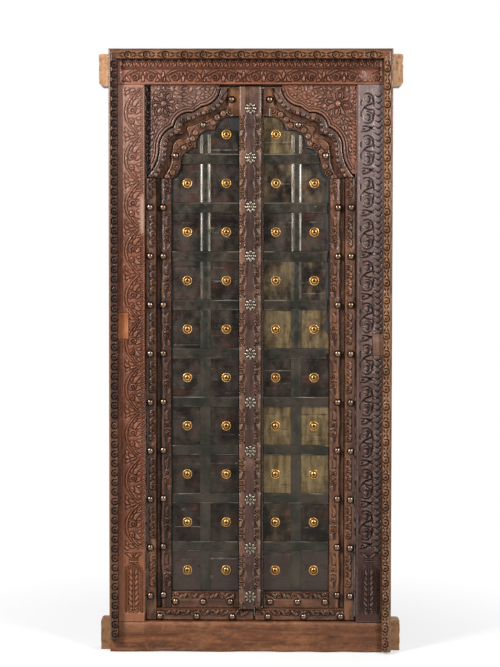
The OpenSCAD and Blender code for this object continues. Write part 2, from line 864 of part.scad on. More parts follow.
module outer_arch() {
    inset = arch_gap + arch_band_w - bead_r;
    color("#6a412c") {
        plate(plank_y, outer_band_t) difference() {
            intersection() {
                arch_field(arch_gap);
                front_box(-leaf_edge, 0, spring_z, leaf_top_z);
            }
            arch_field(arch_gap + arch_band_w);
        }
        foil_beads(shoulder_c, shoulder_foil_r, inset, 95, 150, outer_band_y);
        foil_beads(waist_c, waist_foil_r, inset, 125, 180, outer_band_y);
        foil_beads(crown_c, crown_lobe_r, -inset, -15, -75, outer_band_y);
    }
}

module inner_arch(meet, z0, z1) {
    plate(plank_y, inner_band_t) difference() {
        intersection() {
            arch_field(arch_gap + arch_band_w + band_gap);
            front_box(-half_open, -meet, z0, z1);
        }
        panel_field(0);
    }
}

module inner_arch_lower(meet) {
    color("#5f3a29") {
        inner_arch(meet, spring_z, splice_z - fit);
        foil_beads(foot_inner_c, foot_inner_r, -bead_r, 150, 185, inner_band_y);
    }
}

module inner_arch_upper(meet) {
    color("#643d2a") {
        inner_arch(meet, splice_z, leaf_top_z);
        foil_beads(middle_inner_c, middle_inner_r, -bead_r, 120, 165, inner_band_y);
        foil_beads(crown_inner_c, crown_inner_r, -bead_r, 95, 140, inner_band_y);
    }
}

// The outer rail reaches under the post to the line where the leaves meet, at end_x; the right one's end is
// rounded about its pivots
module outer_bottom_rail(end_x, round_end) {
    bead_z = outer_rail_top_z - bead_r;
    color("#5a3627") {
        translate([0, 0, leaf_foot_z]) linear_extrude(outer_rail_top_z - leaf_foot_z)
            polygon(concat(
                [[-outer_stile_in + band_gap, plank_y], [-outer_stile_in + band_gap, outer_band_y]],
                round_end
                    ? swing_edge(end_x, outer_band_y, plank_y)
                    : [[end_x, outer_band_y], [end_x, plank_y]]
            ));
        translate([-outer_stile_in + stud_r * 3, 0, bead_z])
            rotate([0, 90, 0])
                bead_run(0, outer_band_y, 0, panel_half - post_half - stud_r * 2);
    }
}

module inner_bottom_rail(meet) {
    bead_z = inner_rail_z + inner_rail_h - bead_r * 2;
    color("#5c3628") {
        plate(plank_y, inner_band_t)
            front_box(-panel_half + band_gap, -meet, inner_rail_z, inner_rail_z + inner_rail_h);
        translate([-panel_half + bead_r * 2, 0, bead_z])
            rotate([0, 90, 0]) bead_run(0, inner_band_y, 0, panel_half - meet - bead_r * 4);
    }
}

// A forged stud: a domed head on a short collar
module stud(x, y, z) {
    collar_h = stud_h * 0.2;
    dome_h = stud_h - collar_h;
    dome_r = (stud_r * stud_r + dome_h * dome_h) / (2 * dome_h);
    translate([x, y, z]) rotate([90, 0, 0]) rotate_extrude() {
        square([stud_r * 0.9, collar_h]);
        translate([0, collar_h]) intersection() {
            translate([0, dome_h - dome_r]) circle(dome_r);
            square([stud_r, dome_h]);
        }
    }
}

module studs() {
    color("#5d5650") {
        for (i = [-1 : strap_count - 2]) {
            stud(-leaf_edge + outer_stile_w * outer_stud_share, outer_band_y, strap_z + row_pitch * i);
            stud(-inner_stile_out + inner_stile_w * inner_stud_share, inner_band_y, strap_z + row_pitch * i);
        }
        for (share = arch_stud_shares)
            stud(-half_open * share[0], inner_band_y, spring_z + arch_rise * share[1]);
        for (share = outer_rail_stud_shares)
            stud(-half_open * share, outer_band_y, leaf_foot_z + stud_r);
        for (share = inner_rail_stud_shares)
            stud(-half_open * share, inner_band_y, inner_rail_z + inner_rail_h * 0.4);
    }
}

module ledges(end_x) {
    step_share = (ledge_high_share - ledge_low_share) / (ledge_count - 1);
    color("#5e412c")
        for (i = [0 : ledge_count - 1])
            plate(plank_back_y + ledge_t, ledge_t)
                translate([-leaf_edge + ledge_inset, sill_h + door_h * (ledge_low_share + step_share * i)])
                    square([leaf_edge - ledge_inset + end_x, ledge_h]);
}

// Centre post and its flowers, on the left leaf

module centre_post() {
    face_edge = post_half - post_bevel_w;
    color("#5d3d30") {
        translate([0, 0, post_foot_z]) linear_extrude(post_top_z - post_foot_z)
            polygon(concat(
                [[-post_half, plank_back_y], [-post_half, post_y], [face_edge, post_y]],
                [[post_half, post_y + post_bevel_d], [post_half, plank_y]],
                swing_edge(right_meet - lip_gap, plank_y, plank_back_y)
            ));
        for (x = [2 * bead_r - post_half, face_edge - 2 * bead_r], i = [-1 : strap_count - 1])
            bead_run(
                x, post_y,
                strap_z + row_pitch * i + rosette_r * 2, strap_z + row_pitch * (i + 1) - rosette_r * 2
            );
    }
}

// Block under the post, behind the meeting ends of the outer rails
module post_heel() {
    color("#4f3428")
        translate([0, 0, leaf_foot_z]) linear_extrude(post_foot_z - leaf_foot_z)
            polygon(concat(
                [[-post_half, plank_back_y], [-post_half, plank_y]],
                swing_edge(meeting_x + meeting_gap / 2 - lip_gap, plank_y, plank_back_y)
            ));
}

module rosette() {
    petal_r = rosette_r * 0.26;
    linear_extrude(rosette_h * 0.6)
        for (i = [0 : rosette_petals - 1])
            rotate(360 * i / rosette_petals) translate([rosette_r - petal_r, 0]) circle(petal_r, $fn = 24);
    cylinder(r = rosette_r * 0.62, h = rosette_h * 0.6);
    translate([0, 0, rosette_h * 0.6]) intersection() {
        sphere(rosette_h * 0.9, $fn = 24);
        translate([0, 0, rosette_r / 2]) cube(rosette_r, center = true);
    }
}

module post_rosettes() {
    color("#6b6560")
        for (i = [-1 : strap_count])
            translate([0, post_y, strap_z + row_pitch * i]) rotate([90, 0, 0]) rosette();
}

// Left leaf
module left_plank_1() { color("#4a3424") plank(1, left_meet); }
module left_plank_2() { color("#4e3726") plank(2, left_meet); }
module left_plank_3() { color("#463122") plank(3, left_meet); }
module left_cladding() { cladding(left_meet); }
module left_cross_straps() { cross_straps(left_meet); }
module left_upright_straps() { upright_straps(left_meet); }
module left_bosses() { bosses(left_meet); }
module left_boss_nails() { boss_nails(left_meet); }
module left_outer_stile() { outer_stile(); }
module left_outer_arch() { outer_arch(); }
module left_inner_stile() { inner_stile(); }
module left_inner_arch_lower() { inner_arch_lower(left_meet); }
module left_inner_arch_upper() { inner_arch_upper(left_meet); }
module left_outer_bottom_rail() { outer_bottom_rail(meeting_x - meeting_gap / 4, false); }
module left_inner_bottom_rail() { inner_bottom_rail(left_meet); }
module left_studs() { studs(); }
module left_ledges() { ledges(post_half - stud_r); }

// Right leaf, mirrored
module right_plank_1() { color("#4a3424") mirror([1, 0, 0]) plank(1, right_meet); }
module right_plank_2() { color("#4e3726") mirror([1, 0, 0]) plank(2, right_meet); }
module right_plank_3() { color("#463122") mirror([1, 0, 0]) plank(3, right_meet); }
module right_cladding() { mirror([1, 0, 0]) cladding(right_meet); }
module right_cross_straps() { mirror([1, 0, 0]) cross_straps(right_meet); }
module right_upright_straps() { mirror([1, 0, 0]) upright_straps(right_meet); }
module right_bosses() { mirror([1, 0, 0]) bosses(right_meet); }
module right_boss_nails() { mirror([1, 0, 0]) boss_nails(right_meet); }
module right_outer_stile() { mirror([1, 0, 0]) outer_stile(); }
module right_outer_arch() { mirror([1, 0, 0]) outer_arch(); }
module right_inner_stile() { mirror([1, 0, 0]) inner_stile(); }
module right_inner_arch_lower() { mirror([1, 0, 0]) inner_arch_lower(right_meet + band_back); }
module right_inner_arch_upper() { mirror([1, 0, 0]) inner_arch_upper(right_meet + band_back); }
module right_outer_bottom_rail() { mirror([1, 0, 0]) outer_bottom_rail(-meeting_x - meeting_gap / 2, true); }
module right_inner_bottom_rail() { mirror([1, 0, 0]) inner_bottom_rail(right_meet + band_back); }
module right_studs() { mirror([1, 0, 0]) studs(); }
module right_ledges() { mirror([1, 0, 0]) ledges(-right_meet - stud_r); }

sill();
head();
left_jamb();
right_jamb();
top_moulding();
left_moulding_upper();
left_moulding_lower();
right_moulding_upper();
right_moulding_lower();
left_spandrel();
right_spandrel();
left_jamb_patch();
right_jamb_patch();
left_pivot_cup();
right_pivot_cup();
left_head_bush();
right_head_bush();
left_plank_1();
left_plank_2();
left_plank_3();
left_cladding();
left_cross_straps();
left_upright_straps();
left_bosses();
left_boss_nails();
left_outer_stile();
left_outer_arch();
left_inner_stile();
left_inner_arch_lower();
left_inner_arch_upper();
left_outer_bottom_rail();
left_inner_bottom_rail();
left_studs();
left_ledges();
left_upper_pivot();
left_lower_pivot();
centre_post();
post_heel();
post_rosettes();
right_plank_1();
right_plank_2();
right_plank_3();
right_cladding();
right_cross_straps();
right_upright_straps();
right_bosses();
right_boss_nails();
right_outer_stile();
right_outer_arch();
right_inner_stile();
right_inner_arch_lower();
right_inner_arch_upper();
right_outer_bottom_rail();
right_inner_bottom_rail();
right_studs();
right_ledges();
right_upper_pivot();
right_lower_pivot();
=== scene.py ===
import math

import bpy
import numpy as np
from mathutils import Matrix, Vector


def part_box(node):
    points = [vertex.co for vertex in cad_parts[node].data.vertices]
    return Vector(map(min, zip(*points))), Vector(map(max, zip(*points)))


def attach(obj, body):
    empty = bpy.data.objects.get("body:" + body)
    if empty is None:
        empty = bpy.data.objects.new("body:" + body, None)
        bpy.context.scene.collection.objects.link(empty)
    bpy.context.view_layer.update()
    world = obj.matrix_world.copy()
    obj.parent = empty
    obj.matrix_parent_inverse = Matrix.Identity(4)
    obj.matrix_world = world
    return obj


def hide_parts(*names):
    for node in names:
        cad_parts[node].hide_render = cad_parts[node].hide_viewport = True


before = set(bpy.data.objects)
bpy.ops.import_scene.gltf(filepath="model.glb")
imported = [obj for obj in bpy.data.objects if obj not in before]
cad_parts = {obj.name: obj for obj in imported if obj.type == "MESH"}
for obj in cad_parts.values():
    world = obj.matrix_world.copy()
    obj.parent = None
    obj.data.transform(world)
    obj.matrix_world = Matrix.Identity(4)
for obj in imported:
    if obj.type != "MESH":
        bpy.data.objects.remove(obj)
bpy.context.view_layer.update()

# Carved double door with its frame. Places and sizes are in millimetres until a mesh is written.
# A leaf is drawn as the left one, with X negative, and the right one is its mirror image.

MM = 0.001
X, Y, Z = range(3)


def span(node, axis):
    """Lowest and highest place of a node along an axis."""
    low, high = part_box(node)
    return low[axis] / MM, high[axis] / MM


# Frame, read from the fixed model
FACE_Y, BACK_Y = span("sill", Y)
SILL_TOP = span("sill", Z)[1]
SILL_END = span("sill", X)[1]
HEAD_TOP = span("head", Z)[1]
HEAD_END = span("head", X)[1]
SPRING_Z, HEAD_Z = span("left_spandrel", Z)
HALF_OPEN = -span("left_spandrel", X)[0]
SPANDREL_BACK = span("left_spandrel", Y)[1]
HALF_W = span("top_moulding", X)[1]
MOULDING_UNDER, MOULDING_TOP = span("top_moulding", Z)
MOULDING_IN = -span("left_moulding_lower", X)[1]
# Leaves
PLANK_Y, PLANK_BACK = span("left_plank_2", Y)
LEAF_TOP = span("left_plank_2", Z)[1]
LEAF_FOOT = span("left_outer_stile", Z)[0]
LEAF_EDGE, OUTER_IN = (-place for place in span("left_outer_stile", X))
INNER_OUT, PANEL_HALF = (-place for place in span("left_inner_stile", X))
INNER_RAIL_Z, PANEL_FOOT = span("left_inner_bottom_rail", Z)
INNER_END = {"left": -span("left_inner_bottom_rail", X)[1], "right": span("right_inner_bottom_rail", X)[0]}
RAIL_END = {"left": span("left_outer_bottom_rail", X)[1], "right": -span("right_outer_bottom_rail", X)[0]}
POST_FOOT, POST_TOP = span("centre_post", Z)
POST_HALF = -span("centre_post", X)[0]
LIP_X = span("centre_post", X)[1]
PIVOT_X = -sum(span("left_lower_pivot", X)) / 2
PIVOT_Y = sum(span("left_lower_pivot", Y)) / 2
FLIP = {"left": 1, "right": -1}
# Rows of straps
STRAP_W = 36
STRAP_ROWS = 9
STRAP_LOW, STRAP_HIGH = span("left_cross_straps", Z)
STRAP_Z = STRAP_LOW + STRAP_W / 2
ROW = (STRAP_HIGH - STRAP_LOW - STRAP_W) / (STRAP_ROWS - 1)
# Depths and widths that the boxes of carved nodes can't tell
HORN_D = 62
HORN_CHAMFER = 11
MOULDING_OUT = 28
LIP_W = 6
FILLET_W = 9.5
SPANDREL_T = 22
OUTER_T = 34
INNER_T = 16
POST_T = 46
POST_BEVEL = (5, 16)
POST_RISE = 6
OUTER_RAIL_H = 38
SHEET_T = 1.5
STRAP_T = 4
SHEET_GAP = 3
MEET = {
    "left": -span("left_cladding", X)[1] - SHEET_GAP,
    "right": span("right_cladding", X)[0] - SHEET_GAP,
}
BAND_GAP = 0.5
LINE_W = 3.4
STUD_R = 12.5
STUD_H = 11
BOSS_R = 17
BOSS_H = 11
BOSS_SHIFT = 5
ROSETTE_R = 20
ROSETTE_H = 7
OUTER_Y = PLANK_Y - OUTER_T
INNER_Y = PLANK_Y - INNER_T
POST_Y = PLANK_Y - POST_T
SHEET_Y = PLANK_Y - SHEET_T
SPANDREL_Y = SPANDREL_BACK - SPANDREL_T
MOULDING_FACE = FACE_Y - MOULDING_OUT
# A hair between shown faces that would else lie in one another
HAIR = 0.3
# Cusped arch: centres as shares of the half opening and of the rise, and radii
ARCH_RISE = HEAD_Z - SPRING_Z
ARCH_GAP = 4
ARCH_BAND = 25
ARCH_SPLICE_Z = SPRING_Z + 100
CROWN_HALF_W = 106


def on_arch(across_share, up_share):
    """A place in the left half of the arch."""
    return np.array([-across_share * HALF_OPEN, SPRING_Z + up_share * ARCH_RISE])


WAIST, WAIST_R = on_arch(0.6575, 0.328), 78
SHOULDER, SHOULDER_R = on_arch(0.581, 0.536), 56
CROWN, CROWN_R = np.array([-CROWN_HALF_W - 72, HEAD_Z]), 72
CROWN_FOIL, CROWN_FOIL_R = on_arch(0.192, 0.502), 55
MIDDLE_FOIL, MIDDLE_FOIL_R = on_arch(0.384, 0.375), 50
FOOT_FOIL, FOOT_FOIL_R = on_arch(0.52, 0.17), 52
ARCH_STUDS = [on_arch(0.18, 0.855), on_arch(0.45, 0.578), on_arch(0.71, 0.245)]
FLOWER = on_arch(0.82, 0.8)
FLOWER_R = 45
# The fans of rays that draw the arches start just over the springing line
FAN_Z = SPRING_Z + 0.05
# Studs: places across stiles and rails
OUTER_STUD_X = -LEAF_EDGE + 0.42 * (LEAF_EDGE - OUTER_IN)
INNER_STUD_X = -INNER_OUT + 0.45 * (INNER_OUT - PANEL_HALF)
INNER_RAIL_STUD_Z = INNER_RAIL_Z + 0.4 * (PANEL_FOOT - INNER_RAIL_Z)
OUTER_RAIL_STUD_SHARES = [0.86, 0.51, 0.17]
INNER_RAIL_STUD_SHARES = [0.715, 0.45, 0.19]
# Marks of age on the frame
KNOT = (398, HEAD_Z + 30)
BREAK_LOW, BREAK_HIGH = 1440, 1592
SILL_CRACKS = (-312, -292, 228)
SILL_CRACK_W, SILL_CRACK_D = 2.5, 1.8
# Carving
VINE_BAY = {"left": 152, "right": 150}
SCALE_PITCH = 21.5
COMB_PITCH, COMB_LEAN = 25, 7
RING_PITCH = {
    ("left", "upper"): 33, ("left", "lower"): 33, ("right", "upper"): 61, ("right", "lower"): 52,
}
TOP_RING_PITCH = 65
# Steps of the carved grids, and cells of the others
SILL_STEP, HEAD_STEP, JAMB_STEP = 5, 2.1, 2.3
SIDE_MOULDING_STEP, TOP_MOULDING_STEP = 1.8, 1.9
OUTER_STILE_STEP, INNER_STILE_STEP, RAIL_STEP, POST_STEP = 2.1, 2.3, 2.1, 2.4
SPANDREL_CELLS, OUTER_ARCH_CELLS, INNER_ARCH_CELLS = 76, 22, 44
SHEET_ROWS, SHEET_COLUMNS = 480, 40
STRAP_CELLS_UP, STRAP_CELLS_ALONG = 19, 48
STRIP_CELLS_ACROSS, STRIP_CELLS_UP = 41, 24
# Right leaf: where the edge of the sheet along the stile is torn, from foot to top, and the straps there
TORN = (1080, 1130, 1800, 1850)
TORN_STRAPS = range(4, 8)
# Sheet of the left leaf: where its top corner is missing
MISSING_Z = 1770
# Cells of the right leaf that are rubbed to brass: row from the foot, and 0 for the stile's side
BRASS_CELLS = {
    (9, 1): 0.62, (8, 1): 0.4, (8, 0): 0.36, (7, 0): 0.2, (7, 1): 0.24, (6, 1): 0.5, (6, 0): 0.44,
    (5, 1): 0.62, (5, 0): 0.62, (4, 1): 0.2, (4, 0): 0.2, (3, 1): 0.78, (3, 0): 0.74,
    (2, 1): 0.85, (2, 0): 0.72, (1, 1): 0.36, (1, 0): 0.22, (0, 0): 0.08, (0, 1): 0.08,
}
# How bright the painted highlight along the folds of each strip is, from the foot up
SHINE = {
    "left": (0.25, 0.25, 0.25, 0.3, 0.3, 0.35, 0.5, 0.85, 1.0, 0.3),
    "right": (0.25, 0.25, 0.25, 0.25, 0.25, 0.35, 0.45, 0.75, 1.0, 0.35),
}


def row_level(i):
    """Height of the middle of cross strap i; -1 and the rows over the last one go on at the same pitch."""
    return STRAP_Z + ROW * i


def strip_middle(side):
    """Middle of the upright strips, halfway between the stile and the meeting edge."""
    return -(PANEL_HALF + MEET[side]) / 2


# Plane curves

def resample(path, step=1.6):
    """The same path with evenly spaced points."""
    path = np.asarray(path, float)
    run = np.concatenate([[0], np.cumsum(np.hypot(*np.diff(path, axis=0).T))])
    stops = np.linspace(0, run[-1], max(2, int(run[-1] / step) + 1))
    return np.stack([np.interp(stops, run, path[:, 0]), np.interp(stops, run, path[:, 1])], 1)


def arc(centre, r, start, stop, count=28):
    turn = np.radians(np.linspace(start, stop, count))
    return np.stack([centre[0] + r * np.cos(turn), centre[1] + r * np.sin(turn)], 1)


def volute(centre, r_out, r_in, start, turn, count=40):
    """A spiral from the outer radius to the inner one."""
    share = np.linspace(0, 1, count)
    angle = np.radians(start + turn * share)
    r = r_out + (r_in - r_out) * share
    return np.stack([centre[0] + r * np.cos(angle), centre[1] + r * np.sin(angle)], 1)


def bow(start, stop, bulge, count=18):
    """A curve from start to stop that swells to its left by bulge."""
    start, stop = np.asarray(start, float), np.asarray(stop, float)
    run = stop - start
    left = np.array([-run[1], run[0]]) / np.hypot(*run)
    share = np.linspace(0, 1, count)[:, None]
    return start + run * share + left * bulge * 4 * share * (1 - share)


def in_circle(x, z, centre, r):
    return (x - centre[0]) ** 2 + (z - centre[1]) ** 2 < r * r


def in_polygon(x, z, corners):
    inside = np.zeros(np.broadcast(x, z).shape, bool)
    for (x0, z0), (x1, z1) in zip(corners, corners[1:] + corners[:1]):
        if z0 == z1:
            continue
        crosses = (z0 > z) != (z1 > z)
        inside ^= crosses & (x < x0 + (x1 - x0) * (z - z0) / (z1 - z0))
    return inside


def foot_lobe(foil, foil_r, wall, inset):
    """Centre and radius of the ogee at the foot of an arch."""
    run = foil[0] - foil_r + wall
    rise = foil[1] - SPRING_Z
    r = (run * run + rise * rise) / (2 * run)
    return np.array([foil[0] - foil_r - r, foil[1]]), r + inset


def arch_field(inset):
    """Tells which places lie under the spandrel, inset from its edge."""
    up = np.radians(80)
    down = np.radians(-85)
    shoulder_p = SHOULDER + (SHOULDER_R - inset) * np.array([np.cos(up), np.sin(up)])
    crown_p = CROWN + (CROWN_R + inset) * np.array([np.cos(down), np.sin(down)])
    wall = -HALF_OPEN + inset
    corners = [
        (0, SPRING_Z), (0, HEAD_Z), (inset - CROWN_HALF_W, HEAD_Z), tuple(crown_p), tuple(shoulder_p),
        tuple(SHOULDER), tuple(WAIST), (wall, WAIST[1]), (wall, SPRING_Z),
    ]
    lobe, lobe_r = foot_lobe(WAIST, WAIST_R, HALF_OPEN, inset)

    def inside(x, z):
        field = in_polygon(x, z, corners)
        field |= in_circle(x, z, WAIST, WAIST_R - inset) | in_circle(x, z, SHOULDER, SHOULDER_R - inset)
        return field & ~in_circle(x, z, lobe, lobe_r) & ~in_circle(x, z, CROWN, CROWN_R + inset)

    return inside


def panel_field(inset):
    """Tells which places lie in the panel inside the inner arch and stiles."""
    top = CROWN_FOIL[1] + CROWN_FOIL_R - inset
    wall = -PANEL_HALF + inset
    corners = [
        (0, PANEL_FOOT), (0, top), (CROWN_FOIL[0], top), tuple(CROWN_FOIL), tuple(MIDDLE_FOIL),
        tuple(FOOT_FOIL), (wall, FOOT_FOIL[1]), (wall, PANEL_FOOT),
    ]
    lobe, lobe_r = foot_lobe(FOOT_FOIL, FOOT_FOIL_R, PANEL_HALF, inset)

    def inside(x, z):
        field = in_polygon(x, z, corners)
        for foil, r in ((FOOT_FOIL, FOOT_FOIL_R), (MIDDLE_FOIL, MIDDLE_FOIL_R), (CROWN_FOIL, CROWN_FOIL_R)):
            field |= in_circle(x, z, foil, r - inset)
        return field & ~(in_circle(x, z, lobe, lobe_r) & (z > SPRING_Z))

    return inside


def reach(inside, origin, angles, limit=480, step=0.1):
    """How far rays from the origin stay inside a field, one for each angle in degrees."""
    run = np.arange(0, limit, step)
    turn = np.radians(angles)[:, None]
    hit = inside(origin[0] + run * np.cos(turn), origin[1] + run * np.sin(turn))
    hit[:, -1] = False
    return run[np.argmin(hit, axis=1)]


def swing_edge(far, depth):
    """How far a meeting edge reaches at a depth, when it is rounded about the pivots of its leaf."""
    return np.sqrt((PIVOT_X + far) ** 2 - (depth - PIVOT_Y) ** 2) - PIVOT_X


def outline(field, origin, angles):
    """The edge of a field, as places."""
    r = reach(field, origin, angles)
    turn = np.radians(angles)
    return np.stack([origin[0] + r * np.cos(turn), origin[1] + r * np.sin(turn)], 1)


# Carving

def drift(a, b, cell, seed):
    """Smooth noise from -1 to 1, with lumps about as wide as cell."""
    lattice = np.random.default_rng(seed).uniform(-1, 1, (64, 64))
    u, v = a / cell + 17.3, b / cell + 5.7
    i, j = np.floor(u).astype(int), np.floor(v).astype(int)
    s, t = u - i, v - j
    s, t = s * s * (3 - 2 * s), t * t * (3 - 2 * t)

    def knot(di, dj):
        return lattice[(i + di) % 64, (j + dj) % 64]

    return (knot(0, 0) * (1 - s) + knot(1, 0) * s) * (1 - t) + (knot(0, 1) * (1 - s) + knot(1, 1) * s) * t


def smooth_step(value, low, high):
    share = np.clip((value - low) / (high - low), 0, 1)
    return share * share * (3 - 2 * share)


class Carving:
    """Heights over the ground of a face that is given as a grid of places."""

    def __init__(self, x, z, ground=0.0, line=0.0):
        """Line is the depth of the cut that runs along both sides of a ridge."""
        self.x, self.z, self.ground, self.line = x, z, ground, line
        self.places = np.stack([x.ravel(), z.ravel()], 1)
        self.height = np.full(x.size, float(ground))

    def near(self, path, margin):
        low, high = path.min(0) - margin, path.max(0) + margin
        inside = (self.places > low) & (self.places < high)
        return np.nonzero(inside[:, 0] & inside[:, 1])[0]

    def distance(self, path, half):
        """Places near a path, their distance from it in half widths, and how far they lie beside it."""
        path = resample(path)
        half = np.atleast_1d(half)
        half = np.interp(np.linspace(0, 1, len(path)), np.linspace(0, 1, len(half)), half)
        near = self.near(path, half.max() + LINE_W)
        if len(near) == 0:
            return near, np.zeros(0), np.zeros(0)
        away = np.linalg.norm(self.places[near][:, None] - path[None], axis=2)
        return near, (away / half).min(1), (away - half).min(1)

    def ridge(self, path, half, rise, vein=0.0, floor=0.0):
        """A round-backed ridge along a path, with a groove down its middle where vein is more than 0."""
        near, away, beside = self.distance(path, half)
        on = away < 1
        lift = np.sqrt(1 - away[on] ** 2) - vein * np.exp(-((away[on] / 0.25) ** 2))
        self.height[near[on]] = np.maximum(self.height[near[on]], self.ground + floor + rise * lift)
        if self.line:
            edge = ~on & (beside < LINE_W)
            cut = self.ground + floor - self.line * np.sqrt(1 - (2 * beside[edge] / LINE_W - 1) ** 2)
            self.height[near[edge]] = np.minimum(self.height[near[edge]], cut)

    def groove(self, path, half, depth):
        near, away, _ = self.distance(path, half)
        on = away < 1
        self.height[near[on]] -= depth * np.sqrt(1 - away[on] ** 2)

    def leaf(self, start, stop, bulge, width, rise, floor=0.0):
        """A pointed leaf with a vein."""
        half = width / 2 * np.array([0.35, 0.8, 1, 0.95, 0.75, 0.45, 0.12])
        self.ridge(bow(start, stop, bulge), half, rise, 0.45, floor)

    def hook(self, start, stop, bulge, width, rise, floor=0.0):
        """A comma: thick at its start, thin at its end."""
        half = width / 2 * np.array([0.7, 1, 0.9, 0.6, 0.4, 0.25])
        self.ridge(bow(start, stop, bulge), half, rise, 0, floor)

    def bead(self, centre, r, rise, floor=0.0):
        self.ridge(np.array([centre, centre]) + [[0, 0], [0.01, 0]], r, rise, 0, floor)

    def sink(self, share, depth):
        """Lowers the ground where share, a grid from 0 to 1, says so."""
        self.height -= depth * share.ravel()

    def clear(self, centre, r, level=0.0):
        """Flattens a round seat, as under a stud."""
        away = np.hypot(self.places[:, 0] - centre[0], self.places[:, 1] - centre[1])
        share = smooth_step(away, r, r + 4)
        self.height = self.height * share + level * (1 - share)

    def wear(self, seed, coarse=0.6, fine=0.3):
        """Lumps and tool marks of an old surface."""
        x, z = self.places.T
        self.height += coarse * drift(x, z, 23, seed) + fine * drift(x, z, 6, seed + 1)

    def grid(self):
        return self.height.reshape(self.x.shape)


def blurred(grid, r):
    """Running mean over 2 r + 1 cells both ways."""
    for axis in (0, 1):
        pad = [(r + 1, r) if k == axis else (0, 0) for k in (0, 1)]
        total = np.cumsum(np.pad(grid, pad, mode="edge"), axis=axis)
        count = grid.shape[axis]
        high = np.take(total, range(2 * r + 1, 2 * r + 1 + count), axis=axis)
        low = np.take(total, range(count), axis=axis)
        grid = (high - low) / (2 * r + 1)
    return grid


def face_grid(x0, x1, z0, z1, step):
    """A grid of places over a rectangle, rows along Z."""
    across = np.linspace(x0, x1, max(3, round(abs(x1 - x0) / step) + 1))
    up = np.linspace(z0, z1, max(3, round(abs(z1 - z0) / step) + 1))
    return np.meshgrid(across, up)


def edge_fall(x, z, r):
    """How far a rounded border of radius r falls away, over a rectangular grid."""
    away = np.minimum(np.minimum(x - x.min(), x.max() - x), np.minimum(z - z.min(), z.max() - z))
    share = np.clip(1 - away / r, 0, 1)
    return r * (1 - np.sqrt(1 - share ** 2))


# Meshes

def deselect():
    bpy.ops.object.select_all(action="DESELECT")


def edit(*steps):
    """Runs operators in edit mode on the active object."""
    bpy.ops.object.mode_set(mode="EDIT")
    for step in steps:
        step()
    bpy.ops.object.mode_set(mode="OBJECT")


def places_of(mesh):
    flat = np.zeros(len(mesh.vertices) * 3)
    mesh.vertices.foreach_get("co", flat)
    return flat.reshape(-1, 3)


def set_places(mesh, places):
    mesh.vertices.foreach_set("co", np.asarray(places, float).ravel())
    mesh.update()


def note(mesh, name, values, rest=0.5):
    """Keeps a number for each vertex, for the finish to read. Vertices past the values get rest."""
    if name in mesh.attributes:
        mesh.attributes.remove(mesh.attributes[name])
    full = np.full(len(mesh.vertices), rest, np.float32)
    full[:len(values)] = values
    attribute = mesh.attributes.new(name, "FLOAT", "POINT")
    attribute.data.foreach_set("value", full)


def select_only(piece):
    deselect()
    piece.select_set(True)
    bpy.context.view_layer.objects.active = piece


def smooth(piece, angle=42):
    select_only(piece)
    bpy.ops.object.shade_smooth_by_angle(angle=math.radians(angle))


def relief_board(name, x, z, height, face, back, flip=1, scale=2.2, blur=4):
    """A closed board: a grid raised by its heights, whose border runs straight back.

    Its cavity note compares each height with the mean over blur cells around; scale is the height
    over or under that mean that counts as fully raised or hollow.
    """
    rows, cols = x.shape
    deselect()
    bpy.ops.mesh.primitive_grid_add(x_subdivisions=cols - 1, y_subdivisions=rows - 1, size=1)
    board = bpy.context.object
    board.name = name
    board.data.name = name
    front = np.stack([flip * x, face - height, z], -1).reshape(-1, 3) * MM
    set_places(board.data, front)
    edit(
        lambda: bpy.ops.mesh.select_all(action="SELECT"),
        bpy.ops.mesh.region_to_loop,
        bpy.ops.mesh.extrude_edges_move,
    )
    places = places_of(board.data)
    places[len(front):, Y] = back * MM
    set_places(board.data, places)
    edit(
        bpy.ops.mesh.edge_face_add,
        lambda: bpy.ops.mesh.select_all(action="SELECT"),
        lambda: bpy.ops.mesh.normals_make_consistent(inside=False),
    )
    cavity = np.full(height.shape, 0.5)
    inner = (slice(1, -1), slice(1, -1))
    cavity[inner] = np.clip(0.5 + (height - blurred(height, blur))[inner] / (2 * scale), 0, 1)
    note(board.data, "cavity", cavity.ravel())
    smooth(board)
    return board


def joined(name, pieces):
    """Several meshes as one object."""
    deselect()
    for piece in pieces:
        piece.select_set(True)
    bpy.context.view_layer.objects.active = pieces[0]
    bpy.ops.object.join()
    pieces[0].name = name
    pieces[0].data.name = name
    return pieces[0]


def copy_at(piece, places, flip=1):
    """Copies of a piece that was modelled at the origin, each with its own mesh, as one object."""
    copies = []
    for place in places:
        copy = piece.copy()
        copy.data = piece.data.copy()
        bpy.context.collection.objects.link(copy)
        copy.data.transform(Matrix.Translation(Vector((flip * place[0], place[1], place[2])) * MM))
        copies.append(copy)
    bpy.data.objects.remove(piece)
    return copies


def turned(name, profile, segments=28):
    """A turned piece with its axis along -Y, drawn out ring by ring from radii and heights."""
    deselect()
    radius, height = profile[0]
    bpy.ops.mesh.primitive_circle_add(
        vertices=segments, radius=radius * MM, fill_type="NGON",
        location=(0, -height * MM, 0), rotation=(math.radians(90), 0, 0),
    )
    piece = bpy.context.object
    piece.name = name
    bpy.ops.object.transform_apply(location=True, rotation=True, scale=True)
    bpy.ops.object.mode_set(mode="EDIT")
    bpy.ops.mesh.select_all(action="SELECT")
    for (r0, h0), (r1, h1) in zip(profile, profile[1:]):
        bpy.ops.mesh.extrude_region_move(TRANSFORM_OT_translate={"value": (0, (h0 - h1) * MM, 0)})
        bpy.ops.transform.resize(value=(r1 / r0, 1, r1 / r0), center_override=(0, -h1 * MM, 0))
    bpy.ops.mesh.select_all(action="SELECT")
    bpy.ops.mesh.normals_make_consistent(inside=False)
    bpy.ops.object.mode_set(mode="OBJECT")
    return piece


